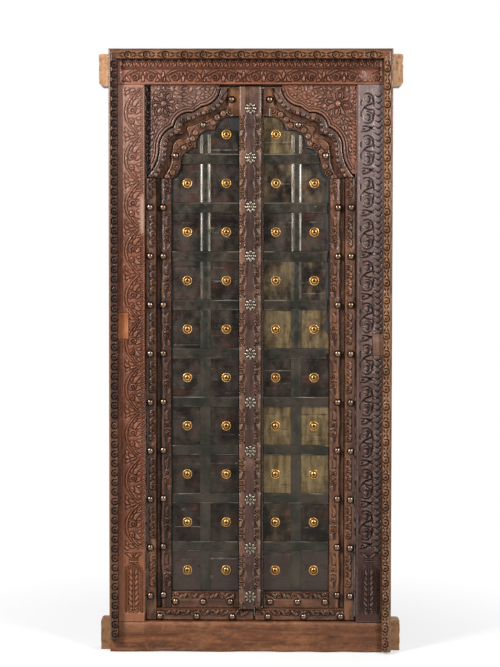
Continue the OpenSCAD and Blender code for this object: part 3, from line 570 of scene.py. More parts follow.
def timber_end(name, low, high, chamfer, seed):
    """A rough sawn block, with its lower outer arris cut off where chamfer is more than 0."""
    worn_end, worn_front, worn_arris = 1.2, 0.8, 6
    deselect()
    low, high = np.array(low, float), np.array(high, float)
    bpy.ops.mesh.primitive_cube_add(size=1, location=tuple((low + high) / 2 * MM))
    block = bpy.context.object
    block.name = name
    block.scale = tuple((high - low) * MM)
    bpy.ops.object.transform_apply(location=True, rotation=True, scale=True)
    outward = 1 if high[X] > 0 else -1
    end = (high[X] if outward > 0 else low[X]) * MM
    bpy.ops.object.mode_set(mode="EDIT")
    bpy.ops.mesh.select_all(action="SELECT")
    bpy.ops.mesh.subdivide(number_cuts=9)
    if chamfer:
        corner = Vector((end - outward * chamfer * MM, 0, low[Z] * MM))
        bpy.ops.mesh.bisect(
            plane_co=corner, plane_no=(outward, 0, -1), use_fill=True, clear_outer=True, clear_inner=False,
        )
        bpy.ops.mesh.select_all(action="SELECT")
    bpy.ops.mesh.normals_make_consistent(inside=False)
    bpy.ops.object.mode_set(mode="OBJECT")
    places = places_of(block.data) / MM
    rough = drift(places[:, Y] + places[:, X], places[:, Z], 9, seed) * 1.0
    rough += drift(places[:, Y] - places[:, X], places[:, Z] * 0.3, 5, seed + 1) * 0.6
    at_end = np.abs(places[:, X] - end / MM) < 0.5
    at_front = np.abs(places[:, Y] - low[Y]) < 0.5
    places[at_end, X] -= outward * (worn_end + rough[at_end])
    places[at_front, Y] += worn_front + rough[at_front]
    from_arris = np.abs(places[:, Z] - high[Z]) + np.abs(places[:, X] - end / MM)
    places[:, Z] -= np.clip(worn_arris - from_arris, 0, worn_arris) * 0.6
    set_places(block.data, places * MM)
    note(block.data, "cavity", 0.5 + 0.2 * rough)
    smooth(block, 35)
    return block


# Finishes

class Value:
    """What a node gives out, for use in Python expressions."""

    def __init__(self, finish, socket):
        self.finish, self.socket = finish, socket

    def math(self, operation, first, second):
        return self.finish.node("ShaderNodeMath", {"operation": operation}, {0: first, 1: second})

    def __add__(self, other):
        return self.math("ADD", self, other)

    __radd__ = __add__

    def __sub__(self, other):
        return self.math("SUBTRACT", self, other)

    def __rsub__(self, other):
        return self.math("SUBTRACT", other, self)

    def __mul__(self, other):
        return self.math("MULTIPLY", self, other)

    __rmul__ = __mul__

    def __truediv__(self, other):
        return self.math("DIVIDE", self, other)

    def __pow__(self, other):
        return self.math("POWER", self, other)


class Finish:
    """A material whose nodes are written as expressions."""

    def __init__(self, name):
        self.material = bpy.data.materials.new(name)
        self.material.use_nodes = True
        self.tree = self.material.node_tree
        self.shader = self.tree.nodes["Principled BSDF"]
        self.object_place = self.node("ShaderNodeTexCoord", {}, {}, "Object")

    def node(self, kind, settings, inputs, output=0):
        made = self.tree.nodes.new(kind)
        for key, value in settings.items():
            setattr(made, key, value)
        for key, value in inputs.items():
            self.feed(made.inputs[key], value)
        return Value(self, made.outputs[output])

    def feed(self, socket, value):
        if isinstance(value, Value):
            self.tree.links.new(value.socket, socket)
        else:
            socket.default_value = value

    def set(self, **sockets):
        """Feeds the shader's sockets; an underscore stands for a space."""
        for key, value in sockets.items():
            self.feed(self.shader.inputs[key.replace("_", " ")], value)

    def place(self, scale, shift=(0, 0, 0)):
        inputs = {"Vector": self.object_place, "Location": shift, "Scale": scale}
        return self.node("ShaderNodeMapping", {}, inputs, "Vector")

    def along(self, axis):
        return self.node("ShaderNodeSeparateXYZ", {}, {0: self.object_place}, axis)

    def between(self, axis, low, high):
        """0 up to low and 1 from high on, along an axis, in millimetres. Low may be the larger one."""
        return self.ramp(self.along(axis), low * MM, high * MM)

    def noise(self, scale, detail=4.0, roughness=0.55, shift=(0, 0, 0), distortion=0.0):
        inputs = {
            "Vector": self.place(scale, shift), "Scale": 1.0, "Detail": detail,
            "Roughness": roughness, "Distortion": distortion,
        }
        return self.node("ShaderNodeTexNoise", {}, inputs, "Fac")

    def ramp(self, value, low, high):
        """0 up to low, 1 from high on. Low may be the larger one."""
        inputs = {"Value": value, "From Min": low, "From Max": high}
        return self.node("ShaderNodeMapRange", {"interpolation_type": "SMOOTHSTEP"}, inputs)

    def mix(self, share, first, second, blend="MIX"):
        settings = {"data_type": "RGBA", "blend_type": blend}
        return self.node("ShaderNodeMix", settings, {0: share, 6: colour(first), 7: colour(second)}, 2)

    def attribute(self, name):
        return self.node("ShaderNodeAttribute", {"attribute_name": name}, {}, "Fac")

    def bump(self, height, distance, strength=1.0):
        inputs = {"Height": height, "Distance": distance, "Strength": strength}
        self.set(Normal=self.node("ShaderNodeBump", {}, inputs, "Normal"))


def colour(value):
    """A colour with its alpha; a link stays as it is."""
    return value if isinstance(value, Value) else (*value, 1.0)


def shade(tone, share):
    return tuple(channel * share for channel in tone)


# Grain of the woods: waves in a metre, across the grain and along it
FINE_GRAIN, FINE_ALONG = 190.0, 8.0
BROAD_GRAIN, BROAD_ALONG = 38.0, 2.6
STAIN_WAVES, HANDLED_WAVES = 9.0, 34.0
GRAIN_DEPTH = 0.0013
WOOD_SPECULAR = 0.3


def wood(
    name, tone, deep, worn, grain_axis=Z, carved=True, recess=0.92, rub_and_highlight=0.45, polish=0.3, shift=0.0,
    patches=None,
):
    """Old waxed wood: streaks along the grain, stains, hollows darkened as dirt and painted shade, ridges
    paled as wear and painted highlight.

    Recess is how dark the hollows are, the rubbing setting how pale the ridges are as wear and painted
    highlight, polish the roughness that wax leaves, and patches a function that adds what only this piece
    shows.
    """
    finish = Finish(name)
    fine, broad = [FINE_GRAIN] * 3, [BROAD_GRAIN] * 3
    fine[grain_axis], broad[grain_axis] = FINE_ALONG, BROAD_ALONG
    move = (shift, shift * 0.7, shift * 0.4)
    streaks = finish.noise(fine, 5.0, 0.65, move)
    figure = finish.noise(broad, 5.0, 0.62, move, 0.6)
    stains = finish.noise([STAIN_WAVES] * 3, 5.0, 0.62, move)
    handled = finish.noise([HANDLED_WAVES] * 3, 4.0, 0.6, move)
    body = finish.mix(finish.ramp(figure, 0.36, 0.64), deep, tone)
    body = finish.mix(finish.ramp(streaks, 0.5, 0.32) * 0.7, body, shade(deep, 0.4))
    body = finish.mix(finish.ramp(stains, 0.5, 0.68) * 0.6, body, shade(deep, 0.55))
    body = finish.mix(finish.ramp(stains, 0.46, 0.32) * 0.35, body, worn)
    if patches:
        body = patches(finish, body)
    wax = finish.ramp(handled, 0.3, 0.65)
    if carved:
        cavity = finish.attribute("cavity")
        hollow = finish.ramp(cavity, 0.46, 0.15)
        ridge = finish.ramp(cavity, 0.58, 0.86)
        # Painted shade in the hollows and painted highlight on the ridges, besides their dirt and wear
        body = finish.mix(hollow * recess, body, shade(deep, 0.14))
        body = finish.mix(ridge * (wax * 0.7 + 0.3) * rub_and_highlight, body, worn)
        finish.set(Roughness=polish + 0.1 - wax * 0.14 - ridge * 0.06 + hollow * 0.4)
    else:
        finish.set(Roughness=polish + 0.14 - wax * 0.12)
    finish.set(Base_Color=body, Specular_IOR_Level=WOOD_SPECULAR)
    finish.bump(streaks * 0.5 + figure * 0.3 + handled * 0.2, GRAIN_DEPTH, 0.8)
    return finish.material


# How metallic bare metal looks under its film, and how deep the film is pitted
METAL_SHEEN = 0.92
FILM_DEPTH = 0.0006


def metal(name, tone, dull, bright, rough=0.38, scale=60.0, spots=0.5, sheen=METAL_SHEEN):
    """Aged metal: dull film, raised places paled by rubbing and by painted highlight, and pitting. Sheen is
    how metallic those pale places look.
    """
    finish = Finish(name)
    film = finish.noise((scale, scale, scale), 5.0, 0.62)
    broad = finish.noise((scale * 0.25,) * 3, 4.0, 0.6, (3.0, 1.0, 2.0))
    cavity = finish.attribute("cavity")
    # Raised places from the cavity note: rubbed wear, and on straps and strips a painted highlight
    rubbed_and_highlit = finish.ramp(cavity, 0.6, 0.95)
    body = finish.mix(finish.ramp(broad, 0.36, 0.64), tone, dull)
    body = finish.mix(finish.ramp(film, 0.52, 0.7) * spots, body, shade(dull, 0.4))
    body = finish.mix(finish.ramp(cavity, 0.48, 0.15), body, shade(dull, 0.15))
    body = finish.mix(rubbed_and_highlit, body, bright)
    finish.set(
        Base_Color=body, Metallic=METAL_SHEEN - rubbed_and_highlit * (METAL_SHEEN - sheen),
        Roughness=rough + finish.ramp(film, 0.4, 0.7) * 0.2 - rubbed_and_highlit * 0.08,
    )
    finish.bump(film, FILM_DEPTH, 0.5)
    return finish.material


# Tones of the sheet
SHEET_BLACK, SHEET_GREY = (0.015, 0.0115, 0.009), (0.046, 0.034, 0.0255)
RUST, BRUSHED = (0.06, 0.021, 0.012), (0.11, 0.09, 0.07)
BRASS_DEEP, BRASS_PALE, BRASS_FILM = (0.085, 0.056, 0.023), (0.22, 0.155, 0.075), (0.075, 0.055, 0.033)
LOW_ROW = (0.075, 0.054, 0.045)
PITTED, LAP_SHADE, LAP_SHINE = (0.02, 0.017, 0.014), (0.008, 0.006, 0.005), (0.36, 0.33, 0.28)
SHEET_DEPTH = 0.0018


def aged_sheet():
    """Dark sheet with grey and rusty films, brushed streaks, and brass that shows where it is worn."""
    finish = Finish("aged_sheet")
    clouds = finish.noise((15.0, 15.0, 11.0), 5.0, 0.65)
    drips = finish.noise((40.0, 20.0, 9.0), 5.0, 0.65)
    brushed = finish.noise((9.0, 20.0, 210.0), 4.0, 0.65)
    pits = finish.noise((150.0, 150.0, 150.0), 3.0, 0.6)
    rust = finish.noise((9.0, 9.0, 24.0), 5.0, 0.65, (4.0, 1.0, 3.0))
    brass = finish.attribute("brass")
    cavity = finish.attribute("cavity")
    dark = finish.mix(finish.ramp(clouds, 0.36, 0.64), SHEET_BLACK, SHEET_GREY)
    dark = finish.mix(finish.ramp(rust, 0.5, 0.66) * 0.7, dark, RUST)
    dark = finish.mix(finish.ramp(brushed, 0.56, 0.74) * 0.35, dark, BRUSHED)
    yellow = finish.mix(finish.ramp(drips, 0.34, 0.66), BRASS_DEEP, BRASS_PALE)
    yellow = finish.mix(finish.ramp(clouds, 0.52, 0.7) * 0.7, yellow, BRASS_FILM)
    worn = finish.ramp(brass + (clouds - 0.5) * 0.8 + (drips - 0.5) * 0.4, 0.3, 0.8)
    dark = finish.mix(finish.between("Z", STRAP_Z + 8, STRAP_Z - 8) * 0.6, dark, LOW_ROW)
    body = finish.mix(worn, dark, yellow)
    body = finish.mix(finish.ramp(pits, 0.58, 0.72) * 0.6, body, PITTED)
    body = finish.mix(finish.ramp(cavity, 0.46, 0.2), body, LAP_SHADE)
    body = finish.mix(finish.ramp(cavity, 0.58, 0.9) * 0.85, body, LAP_SHINE)
    finish.set(
        Base_Color=body, Metallic=0.75,
        Roughness=0.3 + finish.ramp(clouds, 0.35, 0.65) * 0.2 + finish.ramp(pits, 0.5, 0.7) * 0.15,
    )
    finish.bump(brushed * 0.6 + clouds * 0.4, SHEET_DEPTH, 0.65)
    return finish.material


# Tones of the boards
BOARD_DEEP, BOARD_PALE = (0.1, 0.052, 0.028), (0.23, 0.13, 0.072)
# The last tone on the next line is painted shade, black, for the board fronts behind the sheet
BOARD_GRAIN, BOARD_STAIN, GAP_SHADE_BLACK = (0.05, 0.027, 0.015), (0.07, 0.045, 0.03), (0.006, 0.005, 0.004)
BOARD_DEPTH = 0.0014


def boards_with_gap_shade():
    """Plain boards, painted black on the side behind the metal: painted shade that shows in the gaps of the
    sheet.
    """
    finish = Finish("old_boards")
    grain = finish.noise((120.0, 120.0, 5.0), 5.0, 0.62)
    figure = finish.noise((26.0, 26.0, 1.6), 4.0, 0.6, (1.0, 2.0, 0.0), 0.5)
    stains = finish.noise((6.0, 6.0, 6.0), 4.0, 0.6)
    body = finish.mix(finish.ramp(figure, 0.35, 0.65), BOARD_DEEP, BOARD_PALE)
    body = finish.mix(finish.ramp(grain, 0.5, 0.32) * 0.6, body, BOARD_GRAIN)
    body = finish.mix(finish.ramp(stains, 0.52, 0.7) * 0.5, body, BOARD_STAIN)
    # Painted shade: the front of the boards is black so that gaps and torn edges of the sheet look dark
    body = finish.mix(finish.between("Y", PLANK_Y + 5, PLANK_Y + 1), body, GAP_SHADE_BLACK)
    finish.set(Base_Color=body, Roughness=0.72 - finish.ramp(figure, 0.3, 0.7) * 0.12)
    finish.bump(grain * 0.6 + figure * 0.4, BOARD_DEPTH, 0.8)
    return finish.material


def dress(piece, body, slot, finish, *nodes):
    """Gives a piece its finish and its body, and hides the nodes that it stands for. The slot is not used.
    """
    piece.data.materials.clear()
    piece.data.materials.append(finish)
    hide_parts(*nodes)
    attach(piece, body)


def paint_node(node, finish):
    """A node that is shown as it is gets its finish in its own slots."""
    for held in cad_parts[node].material_slots:
        held.material = finish


# Tones of the woods, as seen in even light; each worn tone also serves as painted highlight on carved ridges
RED = dict(tone=(0.19, 0.062, 0.03), deep=(0.1, 0.03, 0.013), worn=(0.3, 0.135, 0.078))
HEAD_RED = dict(tone=(0.165, 0.052, 0.025), deep=(0.085, 0.026, 0.011), worn=(0.27, 0.12, 0.07))
PURPLE = dict(tone=(0.1, 0.056, 0.044), deep=(0.05, 0.026, 0.02), worn=(0.2, 0.135, 0.115))
TAN = dict(tone=(0.185, 0.08, 0.036), deep=(0.085, 0.032, 0.013), worn=(0.34, 0.19, 0.105))
BROWN = dict(tone=(0.115, 0.048, 0.025), deep=(0.052, 0.021, 0.011), worn=(0.25, 0.12, 0.07))
DARKER_BROWN = dict(tone=(0.07, 0.03, 0.017), deep=(0.03, 0.013, 0.007), worn=(0.16, 0.075, 0.042))
GREY_BROWN = dict(tone=(0.09, 0.047, 0.033), deep=(0.047, 0.023, 0.016), worn=(0.2, 0.11, 0.068))
ORANGE = dict(tone=(0.215, 0.078, 0.03), deep=(0.11, 0.038, 0.015), worn=(0.3, 0.13, 0.062))
SPANDREL_DARK = dict(tone=(0.172, 0.082, 0.056), deep=(0.078, 0.034, 0.021), worn=(0.3, 0.175, 0.13))
SPANDREL_RED = dict(tone=(0.21, 0.083, 0.048), deep=(0.096, 0.036, 0.02), worn=(0.33, 0.165, 0.108))
TOP_TAN = dict(tone=(0.13, 0.05, 0.021), deep=(0.07, 0.025, 0.01), worn=(0.24, 0.115, 0.06))
ARCH_BROWN = dict(tone=(0.115, 0.048, 0.027), deep=(0.05, 0.02, 0.011), worn=(0.36, 0.185, 0.1))
POST_BROWN = dict(tone=(0.07, 0.034, 0.024), deep=(0.034, 0.016, 0.011), worn=(0.25, 0.145, 0.095))
# A dark tone that paints the shade falling on the left inner stile
INNER_SHADED = dict(tone=(0.042, 0.018, 0.011), deep=(0.02, 0.0085, 0.005), worn=(0.2, 0.09, 0.05))
BLACKENED = dict(tone=(0.045, 0.02, 0.013), deep=(0.02, 0.009, 0.006), worn=(0.09, 0.045, 0.03))
PATCH = dict(tone=(0.36, 0.125, 0.045), deep=(0.24, 0.075, 0.026), worn=(0.42, 0.2, 0.1))
LEDGE_PINE = dict(tone=(0.2, 0.115, 0.065), deep=(0.1, 0.054, 0.03), worn=(0.3, 0.2, 0.13))
RIGHT_PATCH = dict(tone=(0.17, 0.085, 0.056), deep=(0.1, 0.05, 0.034), worn=(0.3, 0.18, 0.12))
# Tones of single places on them
RAW, RAW_KNOT = (0.46, 0.265, 0.135), (0.3, 0.14, 0.06)
SILL_RAW, SILL_RAW_KNOT = (0.36, 0.19, 0.09), (0.17, 0.075, 0.035)
SILL_DIRT, SILL_SPOT, SILL_PALE = (0.08, 0.03, 0.014), (0.085, 0.034, 0.016), (0.33, 0.14, 0.06)
SILL_CRACK, SILL_RIGHT, SILL_BLOCK = (0.03, 0.012, 0.006), (0.09, 0.035, 0.018), (0.3, 0.14, 0.07)
HEAD_PALE, HEAD_KNOT = (0.34, 0.155, 0.11), (0.26, 0.14, 0.1)
# The first tone on the next line and the first on the line after are painted light and sheen on the tops of
# the jambs
JAMB_LIT_TOP, JAMB_FOOT, JAMB_BARE = (0.34, 0.185, 0.14), (0.3, 0.115, 0.053), (0.36, 0.24, 0.18)
JAMB_SHEEN_GREY, JAMB_BLACK = (0.19, 0.14, 0.135), (0.04, 0.015, 0.009)
# The second tone on the next line is a painted shadow, black, where the left jamb shades the spandrel
LIP_PALE, SLOT_SHADOW_BLACK = (0.19, 0.095, 0.05), (0.012, 0.008, 0.006)
# The last tone on the next line is partly a painted glint at the crown of the inner arch
BAND_WARM, ARCH_WARM, CROWN_GLINT_WARM = (0.22, 0.095, 0.046), (0.24, 0.105, 0.052), (0.26, 0.12, 0.06)
# The first tone on the next line is partly a painted highlight on the post's left edge
POST_WARM_LIT, POST_DARK = (0.19, 0.09, 0.05), (0.06, 0.031, 0.019)


# Frame pieces

def raw_ends(end, tone, knot):
    """Rawer wood on the horns that stick out past x = end."""
    def patches(finish, body):
        out = finish.node("ShaderNodeMath", {"operation": "ABSOLUTE"}, {0: finish.along("X")})
        knots = finish.noise((60.0, 60.0, 60.0), 4.0, 0.65)
        raw = finish.mix(finish.ramp(knots, 0.45, 0.68), tone, knot)
        share = finish.ramp(out, (end - 1) * MM, (end + 3) * MM)
        return finish.mix(share * 0.85, body, raw)
    return patches


def stained_sill(finish, body):
    """The sill is stained and darker at its right end, with a paler block at the top left and worn ends."""
    dirt = finish.noise((16.0, 16.0, 40.0), 5.0, 0.65, (3.0, 2.0, 5.0))
    spots = finish.noise((55.0, 55.0, 95.0), 5.0, 0.7, (1.0, 4.0, 2.0))
    body = finish.mix(finish.ramp(dirt, 0.46, 0.64) * 0.75, body, SILL_DIRT)
    body = finish.mix(finish.ramp(spots, 0.5, 0.64) * 0.6, body, SILL_SPOT)
    body = finish.mix(finish.ramp(spots, 0.44, 0.3) * 0.5, body, SILL_PALE)
    cracks = finish.noise((14.0, 14.0, 300.0), 4.0, 0.65, (6.0, 1.0, 3.0), 0.4)
    body = finish.mix(finish.ramp(cracks, 0.6, 0.68) * 0.75, body, SILL_CRACK)
    body = finish.mix(finish.between("X", 100, 500) * 0.35, body, SILL_RIGHT)
    block = finish.between("X", -365, -372) * finish.between("X", -462, -455)
    block = block * finish.between("Z", 68, 72)
    body = finish.mix(block * 0.3, body, SILL_BLOCK)
    return raw_ends(HALF_W, SILL_RAW, SILL_RAW_KNOT)(finish, body)


def knotted_head(finish, body):
    """Paler towards the left, with a broken knot near the right end, and raw ends."""
    body = finish.mix(finish.between("X", -120, -460) * 0.45, body, HEAD_PALE)
    across, up = finish.along("X") - KNOT[0] * MM, finish.along("Z") - KNOT[1] * MM
    away = (across * across * 0.6 + up * up) ** 0.5
    body = finish.mix(finish.ramp(away, 22 * MM, 4 * MM) * 0.3, body, HEAD_KNOT)
    return raw_ends(HALF_W, RAW, RAW_KNOT)(finish, body)


def horns(name, end, low, high, chamfer, seed):
    """Both ends of a beam, which stick out past the mouldings."""
    front = BACK_Y - HORN_D
    return [
        timber_end(f"{name}_end_left", (-end, front, low), (-HALF_W, BACK_Y, high), chamfer, seed),
        timber_end(f"{name}_end_right", (HALF_W, front, low), (end, BACK_Y, high), chamfer, seed + 2),
    ]


def sill():
    """Sill with its horns: lumpy face, cracks and an uneven foot."""
    x, z = face_grid(-HALF_W, HALF_W, 0, SILL_TOP, SILL_STEP)
    height = 1.6 * drift(x, z * 2.5, 60, 11) + 0.7 * drift(x, z * 4, 17, 12) - edge_fall(x, z, 4)
    low = smooth_step(z, 30, 0)
    z = z + low * (2.5 + 2.5 * drift(x, z * 0, 70, 13)) * (1 - z / SILL_TOP)
    for crack in SILL_CRACKS:
        beside = x - crack - 6 * drift(x * 0, z, 30, 14)
        height -= SILL_CRACK_D * np.exp(-(beside / SILL_CRACK_W) ** 2) * smooth_step(z, 60, 80)
    beam = relief_board("sill_beam", x, z, height, FACE_Y, BACK_Y, scale=2.5)
    ends = horns("sill", SILL_END, 0, SILL_TOP, 0, 21)
    finish = wood(
        "sill_wood", **ORANGE, grain_axis=X, recess=0.6, polish=0.5, shift=3.0, patches=stained_sill,
    )
    dress(joined("worn_sill", [beam] + ends), "frame", "sill_wood", finish, "sill")


def head_arches(cut, low, high):
    """Row of arches with two curls each, and pointed leaves between."""
    pitch = 2 * MOULDING_IN / 6.6
    r = (high - low) * 0.98
    count = int(2 * MOULDING_IN / pitch) + 1
    for i in range(count):
        middle = -MOULDING_IN + pitch * (i + 0.62)
        flat = arc((0, 0), 1, 4, 176, 40)
        cut.ridge(flat * [pitch * 0.47, r] + [middle, low], 2.6, 2.6)
        for side in (-1, 1):
            for k in range(3):
                turn = math.radians(90 - side * (12 + 26 * k))
                tip = np.array([middle, low]) + r * 0.84 * np.array([math.cos(turn) * 1.3, math.sin(turn)])
                root = tip - r * 0.5 * np.array([math.cos(turn), math.sin(turn)])
                cut.leaf(root, tip, side * 3, 11, 2.6)
            centre = (middle + side * pitch * 0.2, low + r * 0.34)
            cut.ridge(volute(centre, 12, 4, 90 - side * 60, side * 400), 2.6, 3.4)
            cut.bead(centre, 3, 3.6)
            cut.leaf((middle + side * pitch * 0.33, low + 2), (middle + side * pitch * 0.4, low + r * 0.5),
                     -side * 4, 9, 2.6)
        cut.leaf((middle, low), (middle, low + r * 0.6), 0, 9, 3)
        gap = middle + pitch / 2
        for lean in (-1.5, 0, 1.5):
            cut.leaf((gap + lean, low + 8), (gap + lean * 12, high - 4 - abs(lean) * 6), lean * -2, 10, 2.6)


def comb_row(cut, x0, x1, low, high, pitch, lean):
    """Row of slanted hooked leaves."""
    for middle in np.arange(x0 + pitch / 2, x1, pitch):
        cut.hook((middle - lean, high - 4), (middle + lean, low + 3), 5, 9, 3)
        cut.hook((middle - pitch * 0.4, low + 4), (middle - pitch * 0.1, high - 7), -3, 7, 2.4)


def head():
    """Head with its horns: carved face and a broken knot."""
    face_top = MOULDING_UNDER
    x, z = face_grid(-HALF_W, HALF_W, HEAD_Z, HEAD_TOP, HEAD_STEP)
    low, split = HEAD_Z + 9, face_top - 28
    carved = smooth_step(z, low - 2, low) * smooth_step(np.abs(x), MOULDING_IN - 8, MOULDING_IN - 12)
    cut = Carving(x, z, -1.6, 2.0)
    head_arches(cut, low + 1, split - 4)
    comb_row(cut, -MOULDING_IN + 12, MOULDING_IN - 12, split, face_top - 1, COMB_PITCH, COMB_LEAN)
    cut.ridge(np.array([[-MOULDING_IN + 10, split - 1], [MOULDING_IN - 10, split - 1]]), 1.4, 1.8)
    cut.height = 1.35 * cut.height * carved.ravel()
    broken = np.exp(-(((x - KNOT[0]) / 34) ** 2 + ((z - KNOT[1]) / 26) ** 2)).ravel()
    cut.height = cut.height * (1 - 0.9 * broken) - 3.5 * broken
    cut.wear(31, 0.7, 0.4)
    height = cut.grid() - edge_fall(x, z, 3)
    beam = relief_board("head_beam", x, z, height, FACE_Y, BACK_Y)
    ends = horns("head", HEAD_END, HEAD_Z, HEAD_TOP, HORN_CHAMFER, 33)
    finish = wood("head_wood", **HEAD_RED, grain_axis=X, shift=1.0, recess=0.8, patches=knotted_head)
    dress(joined("carved_head", [beam] + ends), "frame", "frame_wood", finish, "head")


def fill_strokes(cut, low, high, pitch, seed, rise, flow):
    """Fills a ground with cut leaves that follow a flow of angles."""
    rng = np.random.default_rng(seed)
    for x in np.arange(low[0] + pitch / 2, high[0], pitch):
        for z in np.arange(low[1] + pitch / 2, high[1], pitch):
            place = np.array([x, z]) + rng.uniform(-0.3, 0.3, 2) * pitch
            turn = flow(place) + rng.uniform(-0.6, 0.6)
            run = np.array([math.cos(turn), math.sin(turn)]) * pitch * 0.65
            cut.leaf(place - run, place + run, rng.uniform(-4, 4), pitch * 0.6, rise * rng.uniform(0.7, 1.1))


def foot_panel(cut, middle, width, low):
    """Arched panel at the foot of a jamb: ribs at its sides, curls below and a leaf spray in it."""
    half = width / 2
    top = low + 150
    crown = top + half
    border = np.concatenate([
        [[middle - half, low + 10]], arc((middle, top), half, 180, 0, 30), [[middle + half, low + 10]],
    ])
    cut.ridge(border, 2.0, 3.4)
    cut.ridge((border - [middle, low]) * [0.8, 0.95] + [middle, low + 4], 1.2, 2.8)
    for side in (-1, 1):
        cut.ridge(volute((middle + side * half * 0.45, low + 4), 9, 2, 90, side * 360), 2, 3.4)
        cut.ridge(volute((middle + side * half * 0.5, crown + 26), 11, 2, 270, -side * 330), 2, 3.6)
        tip = (middle + side * half * 1.4, crown + 34)
        cut.leaf((middle + side * 4, crown + 14), tip, side * 5, 8, 3.4)
        for k in range(7):
            lift = low + 22 + 18 * k
            tip = (middle + side * (half * 0.66 - 0.8 * k), lift + 22)
            cut.leaf((middle + side, lift), tip, -side * 5, 8, 3.2)
        for off in (7, 13):
            rib = middle + side * (half + off)
            cut.ridge(np.array([[rib, low], [rib, top + half * 0.5 - off]]), 1.3, 2.8)
    cut.ridge(np.array([[middle, low + 10], [middle, top + half * 0.7]]), np.array([1.8, 1.2]), 3.2)
    for level in (crown + 6, crown + 14):
        bar = np.array([[middle - half * 0.6, level], [middle + half * 0.6, level]])
        cut.ridge(bar, 1.8, 3.2)
    return crown + 44


def left_vine(cut, x0, low, high):
    """Bowed stems that swell to the outer side, each round a spray of leaves; x0 is the outer margin."""
    bays = round((high - low) / VINE_BAY["left"])
    pitch = (high - low) / bays
    for i in range(bays):
        z0 = low + pitch * i

        def at(u, v):
            return np.array([x0 + u, z0 + v * pitch])

        for start, stop, bulge, width in (
            ((20, 0.04), (2, 0.16), 4, 10), ((20, 0.94), (3, 0.86), -4, 10), ((30, 0.02), (12, 0.08), 3, 9),
            ((12, -0.02), (0, 0.06), 3, 9), ((14, 0.99), (2, 0.95), -3, 9), ((34, 0.97), (18, 0.92), -3, 9),
            ((20, 0.66), (36, 0.84), 4, 9), ((30, 0.14), (44, 0.02), -3, 9), ((22, 0.8), (34, 0.93), 3, 8),
            ((40, 0.62), (56, 0.64), 3, 9), ((42, 0.36), (56, 0.4), -3, 9), ((44, 0.84), (56, 0.9), 3, 9),
            ((44, 0.16), (56, 0.1), -3, 9),
        ):
            cut.leaf(at(*start), at(*stop), bulge, width, 2.4)
        for start, stop, bulge, width in (
            ((30, 0.76), (48, 0.93), 6, 12), ((26, 0.22), (46, 0.08), -6, 12),
            ((32, 0.62), (53, 0.76), 6, 13), ((34, 0.34), (54, 0.22), -6, 13),
            ((38, 0.47), (55, 0.52), 4, 14),
        ):
            cut.leaf(at(*start), at(*stop), bulge, width, 2.8)
        cut.ridge(bow(at(44, 0.0), at(50, 0.99), 44), np.array([1.8, 2.6, 3, 2.6, 1.8]), 3.2)
        cut.ridge(volute(at(27, 0.53), 12, 4, 230, -420), np.array([3, 2.8, 2.4]), 3.4)
        cut.bead(at(27, 0.53), 3.4, 3.4)
        cut.ridge(volute(at(24, 0.3), 8, 3, 100, 400), np.array([2.4, 2]), 3)
    for rung in np.arange(low, high, 8):
        cut.ridge(np.array([[x0 + 57, rung], [x0 + 63, rung + 6]]), 1.8, 1.6)


def right_vine(cut, x0, low, high):
    """Hooked scrolls turned up and down in turn, cut in with dark crescents, and crossing stems between."""
    bays = round((high - low) / VINE_BAY["right"])
    pitch = (high - low) / bays
    stem = np.array([1, 2.8, 3.8, 2.8, 1])
    moon = np.array([1, 4.6, 6.8, 4.8, 1])
    for i in range(bays):
        z0 = low + pitch * i

        def at(u, v):
            return np.array([x0 - u, z0 + v * pitch])

        for v, turn in ((0.3, 1), (0.73, -1)):
            centre = at(20, v)
            cut.groove(arc(centre, 20, 180 - turn * 100, 180 + turn * 130), stem, 5)
            cut.groove(arc(centre, 10.5, 180 - turn * 100, 180 + turn * 90), moon, 6.4)
            cut.bead(centre + [4, 0], 5, 2.4)
            cut.groove(bow(at(36, v - turn * 0.03), at(43, v + turn * 0.17), turn * 3), stem, 5)
            cut.groove(bow(at(1, v), at(0, v + turn * 0.15), -turn * 3), stem * 0.8, 4.4)
        for start, stop, bulge in (
            ((42, 0.63), (2, 0.46), 6), ((41, 0.49), (8, 0.56), -5),
            ((43, 0.1), (0, -0.04), -6), ((43, 0), (3, 0.09), 5),
        ):
            cut.groove(bow(at(*start), at(*stop), bulge), stem, 5)
        cut.groove(bow(at(38, 0.06), at(26, 0.03), 2), np.array([1, 4.4, 1]), 5)
        cut.groove(bow(at(14, 0.03), at(4, 0.0), 2), np.array([1, 4, 1]), 5)


def gadroons(cut, x_in, x_out, low, high, pitch):
    """Row of scales, one over the other."""
    x, z = cut.places.T
    inside = (x < x_in) & (x > x_out) & (z > low) & (z < high)
    bend = z - 9 * np.sin(np.pi * np.clip((x - x_out) / (x_in - x_out), 0, 1))
    share = ((bend - low) / pitch) % 1.0
    cut.height[inside] += (2.4 * share - 1.2)[inside]
    for level in np.arange(low, high - pitch * 0.6, pitch):
        cut.groove(bow((x_in, level), (x_out, level + 2), 9), np.array([1.2, 2.2, 2.8, 2.4, 1.4]), 3)


